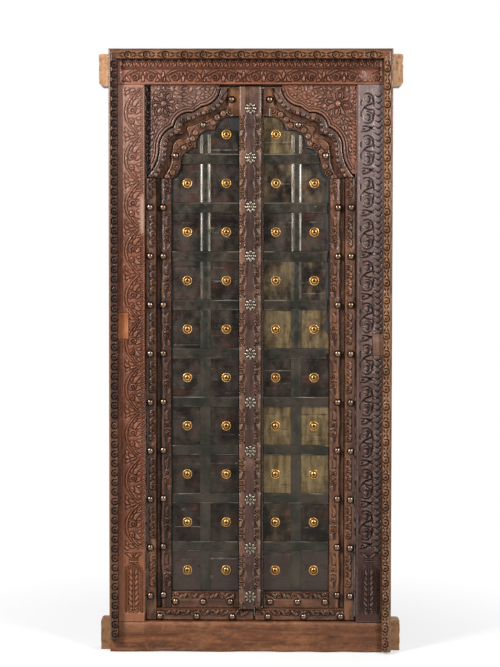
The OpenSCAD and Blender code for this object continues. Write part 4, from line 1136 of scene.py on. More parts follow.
def jamb(side):
    """A jamb: a panel at its foot and a vine above it. The left one is broken along its inner edge."""
    flip = FLIP[side]
    x, z = face_grid(-HALF_W, -HALF_OPEN, SILL_TOP, HEAD_Z, JAMB_STEP)
    outer, inner = -MOULDING_IN, -HALF_OPEN
    foot = SILL_TOP + 34
    if side == "left":
        cut = Carving(x, z, -1.6, 1.6)
        vine_foot = foot_panel(cut, (outer + inner) / 2 + 6, 40, foot)
        left_vine(cut, outer + 23, vine_foot + 8, HEAD_Z - 14)
        margins = smooth_step(x, outer + 21, outer + 18) + smooth_step(x, inner - 3, inner - 1)
        line = outer + 12
    else:
        cut = Carving(x, z, 0, 1.4)
        vine_foot = foot_panel(cut, (outer + inner) / 2, 44, foot)
        right_vine(cut, inner - 14, vine_foot + 14, HEAD_Z - 12)
        gadroons(cut, outer + 31, outer + 3, vine_foot, HEAD_Z - 8, SCALE_PITCH)
        margins = smooth_step(x, inner - 12, inner - 10)
        cut.groove(np.array([[outer + 34, vine_foot], [outer + 34, HEAD_Z - 10]]), 1.4, 1.6)
        line = inner - 10
    plain = np.clip(margins + smooth_step(z, foot, foot - 6) + smooth_step(z, HEAD_Z - 12, HEAD_Z - 8), 0, 1)
    plain = np.maximum(plain, smooth_step(x, outer + 1, outer - 1)).ravel()
    cut.height = cut.height * (1 - plain) * (1.35 if side == "left" else 1.0)
    cut.groove(np.array([[line, SILL_TOP + 30], [line, HEAD_Z - 10]]), 1.3, 0.9)
    cut.wear(41 if side == "left" else 47, 0.7, 0.4)
    if side == "left":
        broken = smooth_step(x, inner - 22, inner - 14) * smooth_step(z, BREAK_LOW, BREAK_LOW + 20)
        broken = (broken * smooth_step(z, BREAK_HIGH, BREAK_HIGH - 22)).ravel()
        cut.height = cut.height * (1 - broken) + broken * (0.8 * drift(*cut.places.T, 9, 5) - 3)
    low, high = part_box(f"{side}_jamb_patch")
    spot = np.array([min(-abs(low[X]), -abs(high[X])), max(-abs(low[X]), -abs(high[X]))]) / MM
    let_in = (x > spot[0]) & (x < spot[1]) & (z > low[Z] / MM) & (z < high[Z] / MM)
    cut.height[let_in.ravel()] = FACE_Y - high[Y] / MM - HAIR
    height = cut.grid() - edge_fall(x, z, 2.5)
    board = relief_board(f"carved_{side}_jamb", x, z, height, FACE_Y, BACK_Y, flip)
    if side == "left":
        finish = wood("left_jamb_wood", **RED, shift=5.0, recess=0.65, patches=painted_lit_top)
        dress(board, "frame", "frame_wood", finish, "left_jamb")
    else:
        finish = wood("right_jamb_wood", **PURPLE, shift=7.0, patches=sheen_top_dark_foot)
        dress(board, "frame", "dark_frame_wood", finish, "right_jamb")


def painted_lit_top(finish, body):
    """Greyer and paler towards the head as painted light and sheen, darker and redder towards the foot, with
    one bare broken place.
    """
    # Painted light: the top of the jamb is paler and greyer, as if lit from above
    body = finish.mix(finish.between("Z", 1350, 1900) * 0.6, body, JAMB_LIT_TOP)
    body = finish.mix(finish.between("Z", 500, 200) * 0.7, body, JAMB_FOOT)
    bare = finish.between("X", -HALF_OPEN - 21, -HALF_OPEN - 9)
    bare = bare * finish.between("Z", BREAK_LOW, BREAK_LOW + 30)
    bare = bare * finish.between("Z", BREAK_HIGH - 2, BREAK_HIGH - 32)
    return finish.mix(bare * 0.55, body, JAMB_BARE)


def sheen_top_dark_foot(finish, body):
    """Painted grey sheen towards the head, nearly black towards the foot."""
    # Painted reflection: a grey sheen over the top of the jamb
    body = finish.mix(finish.between("Z", 1200, 1900) * 0.6, body, JAMB_SHEEN_GREY)
    return finish.mix(finish.between("Z", 1250, 500) * 0.9, body, JAMB_BLACK)


def moulding_profile(across, width):
    """Heights across a moulding, from its inner edge: round arris, band for the rings, fillet and lip."""
    height = -2.2 * smooth_step(across, width - FILLET_W, width - FILLET_W + 1.2)
    height -= 2.6 * smooth_step(across, width - LIP_W, width - LIP_W + 1.2)
    share = np.clip(1 - across / 3.0, 0, 1)
    height -= 3.0 * (1 - np.sqrt(1 - share ** 2))
    share = np.clip(1 - (width - across) / 3.0, 0, 1)
    return height - 3.0 * (1 - np.sqrt(1 - share ** 2))


def scroll_band(cut, start, stop, middle, upright, pitch, hollows=True):
    """Rings cut in with deep lines, and three-cornered hollows between them; upright runs along Z."""
    length = stop - start
    count = max(1, round(length / pitch))
    step = length / count

    def at(run, off):
        return np.array([middle + off, start + run] if upright else [start + run, middle + off])

    for i in range(count):
        run = step * (i + 0.5)
        turn = 60 if upright else -30
        cut.groove(volute(at(run, 0), 11.6, 10.6, turn, 310), np.array([1.4, 2.6, 3, 1.8]), 6)
        cut.groove(arc(at(run, 0), 3.2, turn + 40, turn + 330), np.array([1.2, 2.6, 2.6, 1.4]), 4)
        if not hollows:
            continue
        for way in (-1, 1):
            for off in (-1, 1):
                near, far = run + way * 14, run + way * step * 0.46
                cut.groove(np.array([at(near, off * 8.5), at(far, off * 2.5)]), np.array([1.0, 3, 1.0]), 4)


def side_moulding(side, part, tones, seed):
    """One length of the moulding up a side: a band of scrolls."""
    name = f"{side}_moulding_{part}"
    low, high = span(name, Z)
    x, z = face_grid(-HALF_W, -MOULDING_IN, low, high, SIDE_MOULDING_STEP)
    if part == "upper":
        drop = (MOULDING_TOP - MOULDING_UNDER) * (x + HALF_W) / (HALF_W - MOULDING_IN)
        z = low + (z - low) * (high - drop - low) / (high - low)
    width = HALF_W - MOULDING_IN
    cut = Carving(x, z)
    cut.height = moulding_profile(-MOULDING_IN - x, width).ravel()
    kept = cut.height.copy()
    plain = (x < -HALF_W + FILLET_W - 1).ravel()
    top = high - (MOULDING_TOP - MOULDING_UNDER) - 4 if part == "upper" else high
    middle = -MOULDING_IN - (width - FILLET_W) / 2
    scroll_band(cut, low + 2, top, middle, True, RING_PITCH[side, part], side == "right")
    cut.height[plain] = kept[plain]
    cut.wear(seed)
    height = cut.grid()
    if part == "lower":
        height = height - 2.0 * smooth_step(z, low + 5, low)
    board = relief_board(f"carved_{name}", x, z, height, MOULDING_FACE, FACE_Y, FLIP[side], scale=1.6)
    finish = wood(f"{name}_wood", **tones, shift=seed * 0.3, patches=bare_lip if side == "left" else None)
    dress(board, "frame", "moulding_wood", finish, name)


def bare_lip(finish, body):
    """The outer lip is rubbed to paler wood."""
    lip = -HALF_W + LIP_W
    return finish.mix(finish.between("X", lip + 0.8, lip - 0.4) * 0.8, body, LIP_PALE)


def top_moulding():
    """Moulding over the head: a band of scrolls beside a fillet."""
    x, z = face_grid(-HALF_W, HALF_W, MOULDING_UNDER, MOULDING_TOP, TOP_MOULDING_STEP)
    share = (z - MOULDING_UNDER) / (MOULDING_TOP - MOULDING_UNDER)
    x = x * (MOULDING_IN + (HALF_W - MOULDING_IN) * share) / HALF_W
    width = MOULDING_TOP - MOULDING_UNDER
    cut = Carving(x, z)
    cut.height = moulding_profile(z - MOULDING_UNDER, width).ravel()
    kept = cut.height.copy()
    plain = (z > MOULDING_TOP - FILLET_W + 1).ravel()
    middle = MOULDING_UNDER + (width - FILLET_W) / 2
    scroll_band(cut, -MOULDING_IN + 4, MOULDING_IN - 4, middle, False, TOP_RING_PITCH)
    cut.height[plain] = kept[plain]
    cut.wear(61)
    board = relief_board("carved_top_moulding", x, z, cut.grid(), MOULDING_FACE, FACE_Y, scale=1.6)
    finish = wood("top_moulding_wood", **TOP_TAN, grain_axis=X, shift=9.0)
    dress(board, "frame", "moulding_wood", finish, "top_moulding")


def polar_grid(origin, angles, r_in, r_out, across):
    """A grid of places between two radii, given for each angle."""
    share = np.linspace(0, 1, across)[:, None]
    r = r_in + (r_out - r_in) * share
    turn = np.radians(angles)
    return origin[0] + r * np.cos(turn), origin[1] + r * np.sin(turn), r - r_in, r_out - r


def painted_jamb_shadow(finish, body):
    """The edge against the left jamb is painted black: a painted shadow of the jamb."""
    return finish.mix(finish.between("X", -HALF_OPEN + 22, -HALF_OPEN + 16) * 0.9, body, SLOT_SHADOW_BLACK)


def spandrel(side):
    """A spandrel: a flower in a field of strokes, with two ridges along the arch."""
    origin = np.array([-MEET["left"], FAN_Z])
    corner = math.degrees(math.atan2(HEAD_Z - origin[1], -HALF_OPEN - origin[0]))
    tip = math.degrees(math.atan2(HEAD_Z - origin[1], -CROWN_HALF_W - 0.5 - origin[0]))
    angles = np.unique(np.concatenate([np.linspace(tip, 177.5, 220), [corner]]))
    turn = np.radians(angles)
    wall = (-HALF_OPEN - origin[0]) / np.cos(turn)
    ceiling = (HEAD_Z - origin[1]) / np.sin(turn)
    r_out = np.minimum(wall, ceiling)
    r_in = np.minimum(reach(arch_field(0), origin, angles), r_out - 0.6)
    x, z, _, _ = polar_grid(origin, angles, r_in, r_out, SPANDREL_CELLS)
    cut = Carving(x, z, -1.5, 1.4)

    def away_from_flower(place):
        return math.atan2(place[1] - FLOWER[1], place[0] - FLOWER[0]) + 0.5 * math.sin(place[0] / 17)

    seed = 711 if side == "left" else 731
    fill_strokes(cut, (-HALF_OPEN, SPRING_Z + 60), (-CROWN_HALF_W, HEAD_Z), 15, seed, 2.2, away_from_flower)
    cut.clear(FLOWER, FLOWER_R * 0.98, -1.5)
    loop = arc((0, 0), 1, 0, 360, 36)
    for i in range(8):
        angle = math.radians(45 * i + 12)
        out = np.array([math.cos(angle), math.sin(angle)])
        across = np.array([-out[1], out[0]])
        if side == "left" or i % 2 == 0:
            rib = np.array([FLOWER + out * FLOWER_R * share for share in (0.4, 0.85)])
            cut.ridge(rib, np.array([4, 8, 9]), 1.6)
            petal = loop * [FLOWER_R * 0.35, FLOWER_R * 0.23]
            cut.ridge(FLOWER + out * FLOWER_R * 0.63 + petal[:, :1] * out + petal[:, 1:] * across, 2.0, 3.6)
        else:
            cut.leaf(FLOWER + out * 10, FLOWER + out * FLOWER_R, 4, 15, 3.4)
    cut.bead(FLOWER, FLOWER_R * 0.22, 4.5)
    for inset, half, rise in ((-3.5, 3.2, 3.2), (-13, 2.4, 2.8)):
        edge = outline(arch_field(inset), origin, np.linspace(tip + 3, 174, 160))
        cut.ridge(edge, half, rise)
    head_line = smooth_step(z, HEAD_Z - 6, HEAD_Z - 4)
    jamb_line = smooth_step(x, -HALF_OPEN + 5, -HALF_OPEN + 3)
    cut.height = 1.25 * cut.height * (1 - np.maximum(head_line, jamb_line).ravel())
    if side == "left":
        cut.sink(smooth_step(x, -HALF_OPEN + 23, -HALF_OPEN + 20), 10)
    cut.wear(71 if side == "left" else 73, 0.6, 0.4)
    board = relief_board(
        f"carved_{side}_spandrel", x, z, cut.grid(), SPANDREL_Y, SPANDREL_BACK, FLIP[side], blur=4,
    )
    tones = SPANDREL_DARK if side == "left" else SPANDREL_RED
    # The left spandrel gets a painted shadow of the left jamb along its edge
    patches = painted_jamb_shadow if side == "left" else None
    finish = wood(f"{side}_spandrel_wood", **tones, shift=11.0, recess=0.75, patches=patches)
    dress(board, "frame", "frame_wood", finish, f"{side}_spandrel")


# Leaf pieces

def stud_places():
    """Places of the studs on the stiles, the inner arch and both rails."""
    places = []
    for i in range(-1, STRAP_ROWS - 1):
        places.append((OUTER_STUD_X, OUTER_Y, row_level(i)))
        places.append((INNER_STUD_X, INNER_Y, row_level(i)))
    places += [(x, INNER_Y, z) for x, z in ARCH_STUDS]
    places += [(-HALF_OPEN * share, OUTER_Y, LEAF_FOOT + STUD_R) for share in OUTER_RAIL_STUD_SHARES]
    places += [(-HALF_OPEN * share, INNER_Y, INNER_RAIL_STUD_Z) for share in INNER_RAIL_STUD_SHARES]
    return places


def curl(cut, centre, r, turn, rise=3.6, floor=0.0):
    """A ring curl with an eye and a short tail."""
    cut.ridge(volute(centre, r, r * 0.45, turn, 470), np.array([2.3, 2.1, 1.6]), rise, 0, floor)
    cut.bead(centre, r * 0.3, rise, floor)


def rubbed_bands(finish, body):
    """Warm wood shows through the darker surface here and there along a stile, and mostly near its foot."""
    patchy = finish.noise((30.0, 30.0, 11.0), 4.0, 0.6, (2.0, 5.0, 1.0))
    foot = finish.between("Z", 600, 150) * 0.12
    return finish.mix(finish.ramp(patchy + foot, 0.54, 0.68) * 0.65, body, BAND_WARM)


def outer_stile(side, tones, seed):
    """Outer stile: curls and leaves between the studs."""
    x, z = face_grid(-LEAF_EDGE, -OUTER_IN, LEAF_FOOT, SPRING_Z - HAIR, OUTER_STILE_STEP)
    cut = Carving(x, z)
    bed = 3.4
    middle = -(LEAF_EDGE + OUTER_IN) / 2 + 5
    for i in range(-1, STRAP_ROWS - 1):
        low, high = row_level(i), row_level(i + 1)
        carved = smooth_step(z, low + 18, low + 34) * smooth_step(z, high - 18, high - 34)
        cut.sink(carved * smooth_step(x, middle - 20, middle - 7), bed)
        for share in (0.26, 0.42, 0.58, 0.74):
            place = np.array([middle, low + ROW * share])
            curl(cut, place, 10, 120, 5.2, -bed)
            cut.leaf(place + [-10, 7], place + [9, 15], 3, 8, 4.4, -bed)
    cut.wear(seed, 0.8, 0.3)
    height = cut.grid() - edge_fall(x, z, 3.5)
    board = relief_board(f"carved_{side}_outer_stile", x, z, height, OUTER_Y, PLANK_Y, FLIP[side])
    finish = wood(f"{side}_outer_stile_wood", **tones, shift=seed * 0.2, recess=0.8, patches=rubbed_bands)
    dress(board, f"{side}_leaf", "leaf_wood", finish, f"{side}_outer_stile")


def inner_stile(side, tones, seed):
    """Inner stile: hollow along its outer edge, curls and leaves along the panel."""
    x, z = face_grid(-INNER_OUT, -PANEL_HALF, INNER_RAIL_Z, SPRING_Z - HAIR, INNER_STILE_STEP)
    cut = Carving(x, z)
    ripple = 2.5 * drift(x * 0, z, 40, seed + 3) + 1.2 * drift(x * 0, z, 11, seed + 4)
    cut.sink(smooth_step(x + INNER_OUT, 20 + ripple, 16 + ripple), 8)
    bed = 4
    line = -PANEL_HALF - 13
    for i in range(-1, STRAP_ROWS - 1):
        low, high = row_level(i), row_level(i + 1)
        carved = smooth_step(z, low + 14, low + 32) * smooth_step(z, high - 14, high - 32)
        carved *= smooth_step(x, -PANEL_HALF - 32, -PANEL_HALF - 20)
        cut.sink(carved, bed)
        for share in (0.34, 0.52):
            curl(cut, (line, low + ROW * share), 11, 90, 5.4, -bed)
        for start, stop, bulge, width, rise in (
            ((-3, 0.63), (4, 0.84), 6, 14, 5), ((2, 0.26), (-2, 0.15), 4, 12, 4.6),
            ((-11, 0.43), (9, 0.43), 3, 8, 4.4), ((-11, 0.6), (10, 0.61), -3, 8, 4.4),
        ):
            root = (line + start[0], low + ROW * start[1])
            tip = (line + stop[0], low + ROW * stop[1])
            cut.leaf(root, tip, bulge, width, rise, -bed)
    cut.wear(seed)
    height = cut.grid() - edge_fall(x, z, 2.5)
    board = relief_board(f"carved_{side}_inner_stile", x, z, height, INNER_Y, PLANK_Y, FLIP[side])
    patches = rubbed_bands if side == "right" else None
    finish = wood(f"{side}_inner_stile_wood", **tones, shift=seed * 0.2, recess=0.8, patches=patches)
    dress(board, f"{side}_leaf", "leaf_wood", finish, f"{side}_inner_stile")


def outer_arch(side, tones, seed):
    """Outer arch: a swelling band, with beads and curls along its inner edge."""
    origin = np.array([-MEET["left"], FAN_Z])
    near, far = arch_field(ARCH_GAP + ARCH_BAND), arch_field(ARCH_GAP)
    angles = np.linspace(98, 179.6, 320)
    ceiling = (LEAF_TOP - origin[1]) / np.sin(np.radians(angles))
    edge = (-LEAF_EDGE - origin[0]) / np.cos(np.radians(angles))
    r_out = np.minimum(np.minimum(reach(far, origin, angles), ceiling), np.where(edge > 0, edge, 999))
    r_in = np.minimum(reach(near, origin, angles), ceiling)
    kept = r_out - r_in > 1.0
    angles, r_in, r_out = angles[kept], r_in[kept], r_out[kept]
    x, z, inner, outer = polar_grid(origin, angles, r_in, r_out, OUTER_ARCH_CELLS)
    share = inner / np.maximum(inner + outer, 1)
    cut = Carving(x, z)
    swell = np.clip(1 - ((share - 0.74) / 0.34) ** 2, 0, 1)
    cut.height = (4.0 * np.sqrt(swell) - 2.5).ravel()
    cut.sink(smooth_step(share, 0.46, 0.38), 2)
    rng = np.random.default_rng(seed)
    bed = 3.5
    spots = resample(outline(arch_field(ARCH_GAP + ARCH_BAND - 6.5), origin, np.linspace(103, 178, 260)), 18)
    for k, place in enumerate(spots):
        place = place + rng.uniform(-1.2, 1.2, 2)
        if k % 5 == 3:
            curl(cut, place, 8.5, 40 * k, 6.6, -bed)
        else:
            cut.bead(place, rng.uniform(7.2, 8.6), rng.uniform(6, 7.4), -bed)
    cut.wear(seed)
    board = relief_board(
        f"carved_{side}_outer_arch", x, z, cut.grid(), OUTER_Y, PLANK_Y, FLIP[side], blur=3,
    )
    finish = wood(f"{side}_outer_arch_wood", **tones, shift=seed * 0.2, polish=0.24, patches=rubbed_bands)
    dress(board, f"{side}_leaf", "leaf_wood", finish, f"{side}_outer_arch")


def kept_half(piece, name, level, upper):
    """A copy of a piece, cut off at a level and closed."""
    half = piece.copy()
    half.data = piece.data.copy()
    bpy.context.collection.objects.link(half)
    half.name = name
    half.data.name = name
    select_only(half)
    edit(
        lambda: bpy.ops.mesh.select_all(action="SELECT"),
        lambda: bpy.ops.mesh.bisect(
            plane_co=(0, 0, level * MM), plane_no=(0, 0, 1), use_fill=True,
            clear_inner=upper, clear_outer=not upper,
        ),
    )
    return half


def warm_crown_glints(finish, body):
    """The crown of the arch is warmer, as rubbed wood and as painted glints, and spots of warm wood show all
    along.
    """
    patchy = finish.noise((45.0, 45.0, 45.0), 4.0, 0.6, (7.0, 2.0, 1.0))
    body = finish.mix(finish.ramp(patchy, 0.5, 0.66) * 0.35, body, ARCH_WARM)
    # Painted glints, besides wear, make the crown warmer
    return finish.mix(finish.between("Z", 1860, 1930) * 0.5, body, CROWN_GLINT_WARM)


def inner_arch(side, tones, seed):
    """Inner arch in two lengths: hollow along the outer arch, beads and curls along the panel."""
    origin = np.array([-INNER_END[side], FAN_Z])
    angles = np.concatenate([np.linspace(90, 110, 70), np.linspace(110.3, 179.8, 270)])
    ceiling = (LEAF_TOP - origin[1]) / np.sin(np.radians(angles))
    far = ARCH_GAP + ARCH_BAND + BAND_GAP
    r_out = np.minimum(reach(arch_field(far), origin, angles), ceiling)
    r_in = reach(panel_field(0), origin, angles)
    x, z, inner, outer = polar_grid(origin, angles, r_in, r_out, INNER_ARCH_CELLS)
    cut = Carving(x, z)
    edge = outline(panel_field(-13), origin, np.linspace(92, 179, 260))
    lip = outline(arch_field(far), origin, np.linspace(92, 179.5, 400))
    from_lip = np.sqrt(((cut.places[:, None] - resample(lip, 3)[None]) ** 2).sum(2).min(1)).reshape(x.shape)
    ripple = 2.5 * drift(x, z, 30, seed + 5)
    hollow = smooth_step(from_lip, 21 + ripple, 16 + ripple) * smooth_step(inner + outer, 26, 40)
    hollow *= smooth_step(x, -70, -90)
    cut.sink(hollow, 8)
    bed = 4
    cut.sink(smooth_step(inner, 30, 26) * smooth_step(x, -62, -74), bed)
    rng = np.random.default_rng(seed)
    for k, place in enumerate(resample(edge, 24)):
        if min(np.hypot(*(place - stud)) for stud in ARCH_STUDS) < STUD_R + 7 or place[0] > -62:
            continue
        if k % 4 == 1:
            curl(cut, place, 12, 50 * k, 7, -bed)
        else:
            cut.ridge(arc(place, 4.4, 0, 360), rng.uniform(5.6, 6.6), rng.uniform(7.5, 9), 0, -bed)
    for stud in ARCH_STUDS:
        cut.clear(stud, STUD_R + 1)
    cut.wear(seed)
    whole = relief_board(f"{side}_inner_arch", x, z, cut.grid(), INNER_Y, PLANK_Y, FLIP[side], blur=3)
    finish = wood(f"{side}_inner_arch_wood", **tones, shift=seed * 0.2, polish=0.24, patches=warm_crown_glints)
    for part, upper in (("lower", False), ("upper", True)):
        level = ARCH_SPLICE_Z + (HAIR if upper else -2 * HAIR)
        half = kept_half(whole, f"carved_{side}_inner_arch_{part}", level, upper)
        dress(half, f"{side}_leaf", "leaf_wood", finish, f"{side}_inner_arch_{part}")
    bpy.data.objects.remove(whole)


def outer_rail(side, finish, seed):
    """Outer bottom rail: curls and leaves along its top. The right one is rounded about its pivot."""
    end = RAIL_END[side]
    far = math.hypot(PIVOT_X + end, PLANK_Y - PIVOT_Y) - PIVOT_X
    face_end = end if side == "left" else float(swing_edge(far, OUTER_Y))
    top = LEAF_FOOT + OUTER_RAIL_H
    x, z = face_grid(-OUTER_IN + BAND_GAP, face_end, LEAF_FOOT, top, RAIL_STEP)
    cut = Carving(x, z)
    bed = 3.4
    cut.sink(smooth_step(z, top - 28, top - 20) * smooth_step(z, top - 1, top - 6), bed)
    for k, middle in enumerate(np.arange(-OUTER_IN + 44, face_end - 10, 17)):
        if k % 2:
            curl(cut, (middle, top - 13), 9, 40 * k, 4.4, -bed)
        else:
            cut.leaf((middle - 8, top - 20), (middle + 8, top - 6), 3, 9, 4.2, -bed)
    for share in OUTER_RAIL_STUD_SHARES:
        cut.clear((-HALF_OPEN * share, LEAF_FOOT + STUD_R), STUD_R + 2)
    cut.wear(seed)
    height = cut.grid() - edge_fall(x, z, 3)
    if side == "right":
        depth = np.linspace(OUTER_Y, PLANK_Y - 0.5, 8)[1:]
        turn = np.ones((len(x), 1))
        x = np.hstack([x, turn * swing_edge(far, depth)])
        z = np.hstack([z, z[:, :len(depth)]])
        height = np.hstack([height, turn * (OUTER_Y - depth)])
    rail = relief_board(f"carved_{side}_outer_rail", x, z, height, OUTER_Y, PLANK_Y, FLIP[side])
    dress(rail, f"{side}_leaf", "leaf_wood", finish, f"{side}_outer_bottom_rail")


def inner_rail(side, finish, seed):
    """Inner bottom rail: leaves and curls along the panel."""
    end, top = INNER_END[side], PANEL_FOOT
    x, z = face_grid(-PANEL_HALF + BAND_GAP, -end, INNER_RAIL_Z, top, RAIL_STEP)
    cut = Carving(x, z)
    bed = 3.6
    cut.sink(smooth_step(z, top - 29, top - 21) * smooth_step(z, top, top - 5), bed)
    for k, middle in enumerate(np.arange(-PANEL_HALF + 14, -end - 8, 18)):
        if k % 3 == 0:
            curl(cut, (middle, top - 14), 9.5, 40 * k, 4.8, -bed)
        else:
            cut.leaf((middle - 7, top - 22), (middle + 7, top - 6), 3 - 6 * (k % 2), 11, 4.6, -bed)
    for share in INNER_RAIL_STUD_SHARES:
        cut.clear((-HALF_OPEN * share, INNER_RAIL_STUD_Z), STUD_R + 2)
    cut.wear(seed)
    height = cut.grid() - edge_fall(x, z, 2.5)
    rail = relief_board(f"carved_{side}_inner_rail", x, z, height, INNER_Y, PLANK_Y, FLIP[side])
    dress(rail, f"{side}_leaf", "leaf_wood", finish, f"{side}_inner_bottom_rail")


def bottom_rails(side, tones, seed):
    """Both rails at the foot of a leaf, in one wood."""
    finish = wood(f"{side}_rail_wood", **tones, grain_axis=X, shift=seed * 0.2)
    outer_rail(side, finish, seed)
    inner_rail(side, finish, seed + 2)


def panel_edge(levels, inset, meet):
    """How far to the left the panel reaches at each level."""
    run = np.arange(0, PANEL_HALF, 0.2)
    x = -meet - inset - run
    hit = panel_field(inset)(x[None, :], levels[:, None])
    hit[:, -1] = False
    return x[np.argmin(hit, axis=1)]


def cell_row(levels):
    """Which row of cells a level lies in, and its share of that row."""
    rows = (levels - STRAP_Z) / ROW + 1
    return np.floor(rows).astype(int), rows - np.floor(rows)


def cladding(side):
    """Sheets on the planks: lapped, dented, and ragged along the stile of the right leaf."""
    meet, flip = MEET[side], FLIP[side]
    seed = 101 if side == "left" else 111
    rng = np.random.default_rng(seed)
    top = CROWN_FOIL[1] + CROWN_FOIL_R - SHEET_GAP
    levels = np.linspace(PANEL_FOOT + SHEET_GAP, top - 1, SHEET_ROWS)
    edge = panel_edge(levels, SHEET_GAP, meet)
    if side == "right":
        torn = smooth_step(levels, TORN[0], TORN[1]) * smooth_step(levels, TORN[3], TORN[2])
        jag = 14 + 7 * drift(levels, levels * 0, 60, 3) + 5 * drift(levels, levels * 0, 14, 4)
        edge = edge + torn * np.maximum(jag, 1)
    share = np.linspace(0, 1, SHEET_COLUMNS)[None, :]
    x = edge[:, None] + (-meet - SHEET_GAP - edge[:, None]) * share
    z = levels[:, None] + 0 * share
    if side == "left":
        missing = smooth_step(x, -82, -70) * smooth_step(z, MISSING_Z, MISSING_Z + 30)
        z = z - missing * (z - MISSING_Z) * 0.55
    row, within = cell_row(z)
    height = 1.2 * drift(x, z, 52, seed) + 0.5 * drift(x, z, 19, seed + 1)
    brass = np.zeros_like(x)
    strap_x = strip_middle(side)
    for k in range(STRAP_ROWS + 1):
        for half, lot in ((x < strap_x, 0), (x >= strap_x, 1)):
            cell = (row == k) & half
            laps = np.sort(rng.uniform(0.14, 0.86, int(rng.integers(2, 6))))
            step = 0
            for j, lap in enumerate(laps):
                bend = lap + 0.012 * drift(x, x * 0, 50, seed + 7 * j + k)
                step = step + smooth_step(within, bend - 0.005, bend + 0.005) * (0.9 if j % 2 == 0 else -0.9)
            tilt = rng.uniform(-1, 1) * (within - 0.5) * 1.8
            height = np.where(cell, height + step + tilt, height)
            gold = rng.uniform(0, 0.16)
            if side == "right":
                gold = BRASS_CELLS.get((k, lot), 0.2) + rng.uniform(-0.04, 0.04)
            brass = np.where(cell, gold, brass)
    board = relief_board(f"{side}_sheets", x, z, height + 0.6, SHEET_Y, PLANK_Y, flip, scale=1.5, blur=2)
    note(board.data, "brass", brass.ravel(), 0.1)
    dress(board, f"{side}_leaf", "sheet_metal", SHEET, f"{side}_cladding")


def cross_straps(side):
    """Straps across the sheet, folded along both edges, with two small nails each."""
    meet = MEET[side]
    straps = []
    for i in range(STRAP_ROWS):
        middle = row_level(i)
        levels = np.linspace(middle - STRAP_W / 2, middle + STRAP_W / 2, STRAP_CELLS_UP)
        edge = panel_edge(levels, SHEET_GAP, meet)
        if side == "right" and i in TORN_STRAPS:
            edge = edge + 8 + 4 * drift(levels, levels * 0, 12, i)
        share = np.linspace(0, 1, STRAP_CELLS_ALONG)[None, :]
        x = edge[:, None] + (-meet - SHEET_GAP - edge[:, None]) * share
        z = levels[:, None] + 1.0 * drift(x, x * 0, 60, 5 * i + 7)
        cut = Carving(x, z)
        off = (z - middle) / (STRAP_W / 2)
        fold = np.exp(-((off - 0.88) / 0.08) ** 2) + 0.7 * np.exp(-((off + 0.88) / 0.08) ** 2)
        cut.height = (1.2 * fold + 0.8 * drift(x, z, 30, 130 + i)).ravel()
        strap_x = strip_middle(side)
        for nail in (strap_x - 62, strap_x + 70):
            cut.bead((nail, middle + 3), 2.6, 1.6)
        strap = relief_board(f"strap_{i}", x, z, cut.grid(), SHEET_Y - STRAP_T, SHEET_Y, FLIP[side], 1.8, 2)
        # Painted highlight along both folds, stronger on the upper one
        shine = np.clip(0.5 + 0.8 * drift(x, z * 3, 45, 190 + i), 0, 1)
        note(strap.data, "cavity", np.clip(0.5 + 0.42 * fold * shine, 0, 1).ravel())
        straps.append(strap)
    board = joined(f"{side}_straps", straps)
    dress(board, f"{side}_leaf", "strap_iron", STRAP, f"{side}_cross_straps")


def upright_straps(side):
    """Strips between the cross straps, with a fold along each edge that carries a painted highlight,
    brightest in the top rows.
    """
    meet = MEET[side]
    middle = strip_middle(side)
    strips = []
    for i in range(STRAP_ROWS + 1):
        low = row_level(i - 1) + STRAP_W / 2 + HAIR
        high = low + ROW - STRAP_W - 2 * HAIR
        low = max(low, PANEL_FOOT + SHEET_GAP)
        across = np.linspace(-STRAP_W / 2, STRAP_W / 2, STRIP_CELLS_ACROSS)
        if i == STRAP_ROWS:
            limit = panel_edge(np.arange(low, high), SHEET_GAP, meet)
            high = min(high, low + np.argmax(limit > middle - STRAP_W / 2))
        x, z = np.meshgrid(across + middle, np.linspace(low, high, STRIP_CELLS_UP))
        fold = np.exp(-((np.abs(x - middle) - STRAP_W / 2 + 4.6) / 3.0) ** 2)
        height = 2.4 * fold + 0.3 * drift(x, z, 60, 150 + i)
        strip = relief_board(f"strip_{i}", x, z, height, SHEET_Y - STRAP_T + 1, SHEET_Y, FLIP[side], 1.2, 3)
        shine = SHINE[side][i] * (0.75 + 0.35 * drift(x, z, 22, 170 + i))
        # Painted highlight: the fold on the stile's side is brighter
        stile_side_highlight = np.where(x < middle, 1.0, 0.75)
        mark = 0.5 + 0.5 * fold * shine * stile_side_highlight
        note(strip.data, "cavity", np.clip(mark, 0, 1).ravel())
        strips.append(strip)
    board = joined(f"{side}_strips", strips)
    dress(board, f"{side}_leaf", "strap_iron", STRIP, f"{side}_upright_straps")


def boss_places(side):
    """Two bosses in each row of cells, and one over the last strap."""
    meet = MEET[side]
    strap_x = strip_middle(side)
    outer = (strap_x - STRAP_W / 2 - PANEL_HALF) / 2 + BOSS_SHIFT
    inner = (strap_x + STRAP_W / 2 - meet) / 2 + BOSS_SHIFT
    places = []
    for i in range(STRAP_ROWS + 1):
        for x in ((outer, inner) if i < STRAP_ROWS else (inner,)):
            places.append((x, SHEET_Y, row_level(i - 0.5)))
    return places


def radial_note(piece, dark_rings, bright_rings, reach_out):
    """Marks grooves and rubbed rings of a turned piece by their distance from its axis."""
    places = places_of(piece.data) / MM
    r = np.hypot(places[:, X], places[:, Z])
    mark = np.full(len(r), 0.52)
    for ring in dark_rings:
        mark -= 0.4 * np.exp(-((r - ring) / reach_out) ** 2)
    for ring in bright_rings:
        mark += 0.26 * np.exp(-((r - ring) / reach_out) ** 2)
    note(piece.data, "cavity", np.clip(mark, 0, 1))


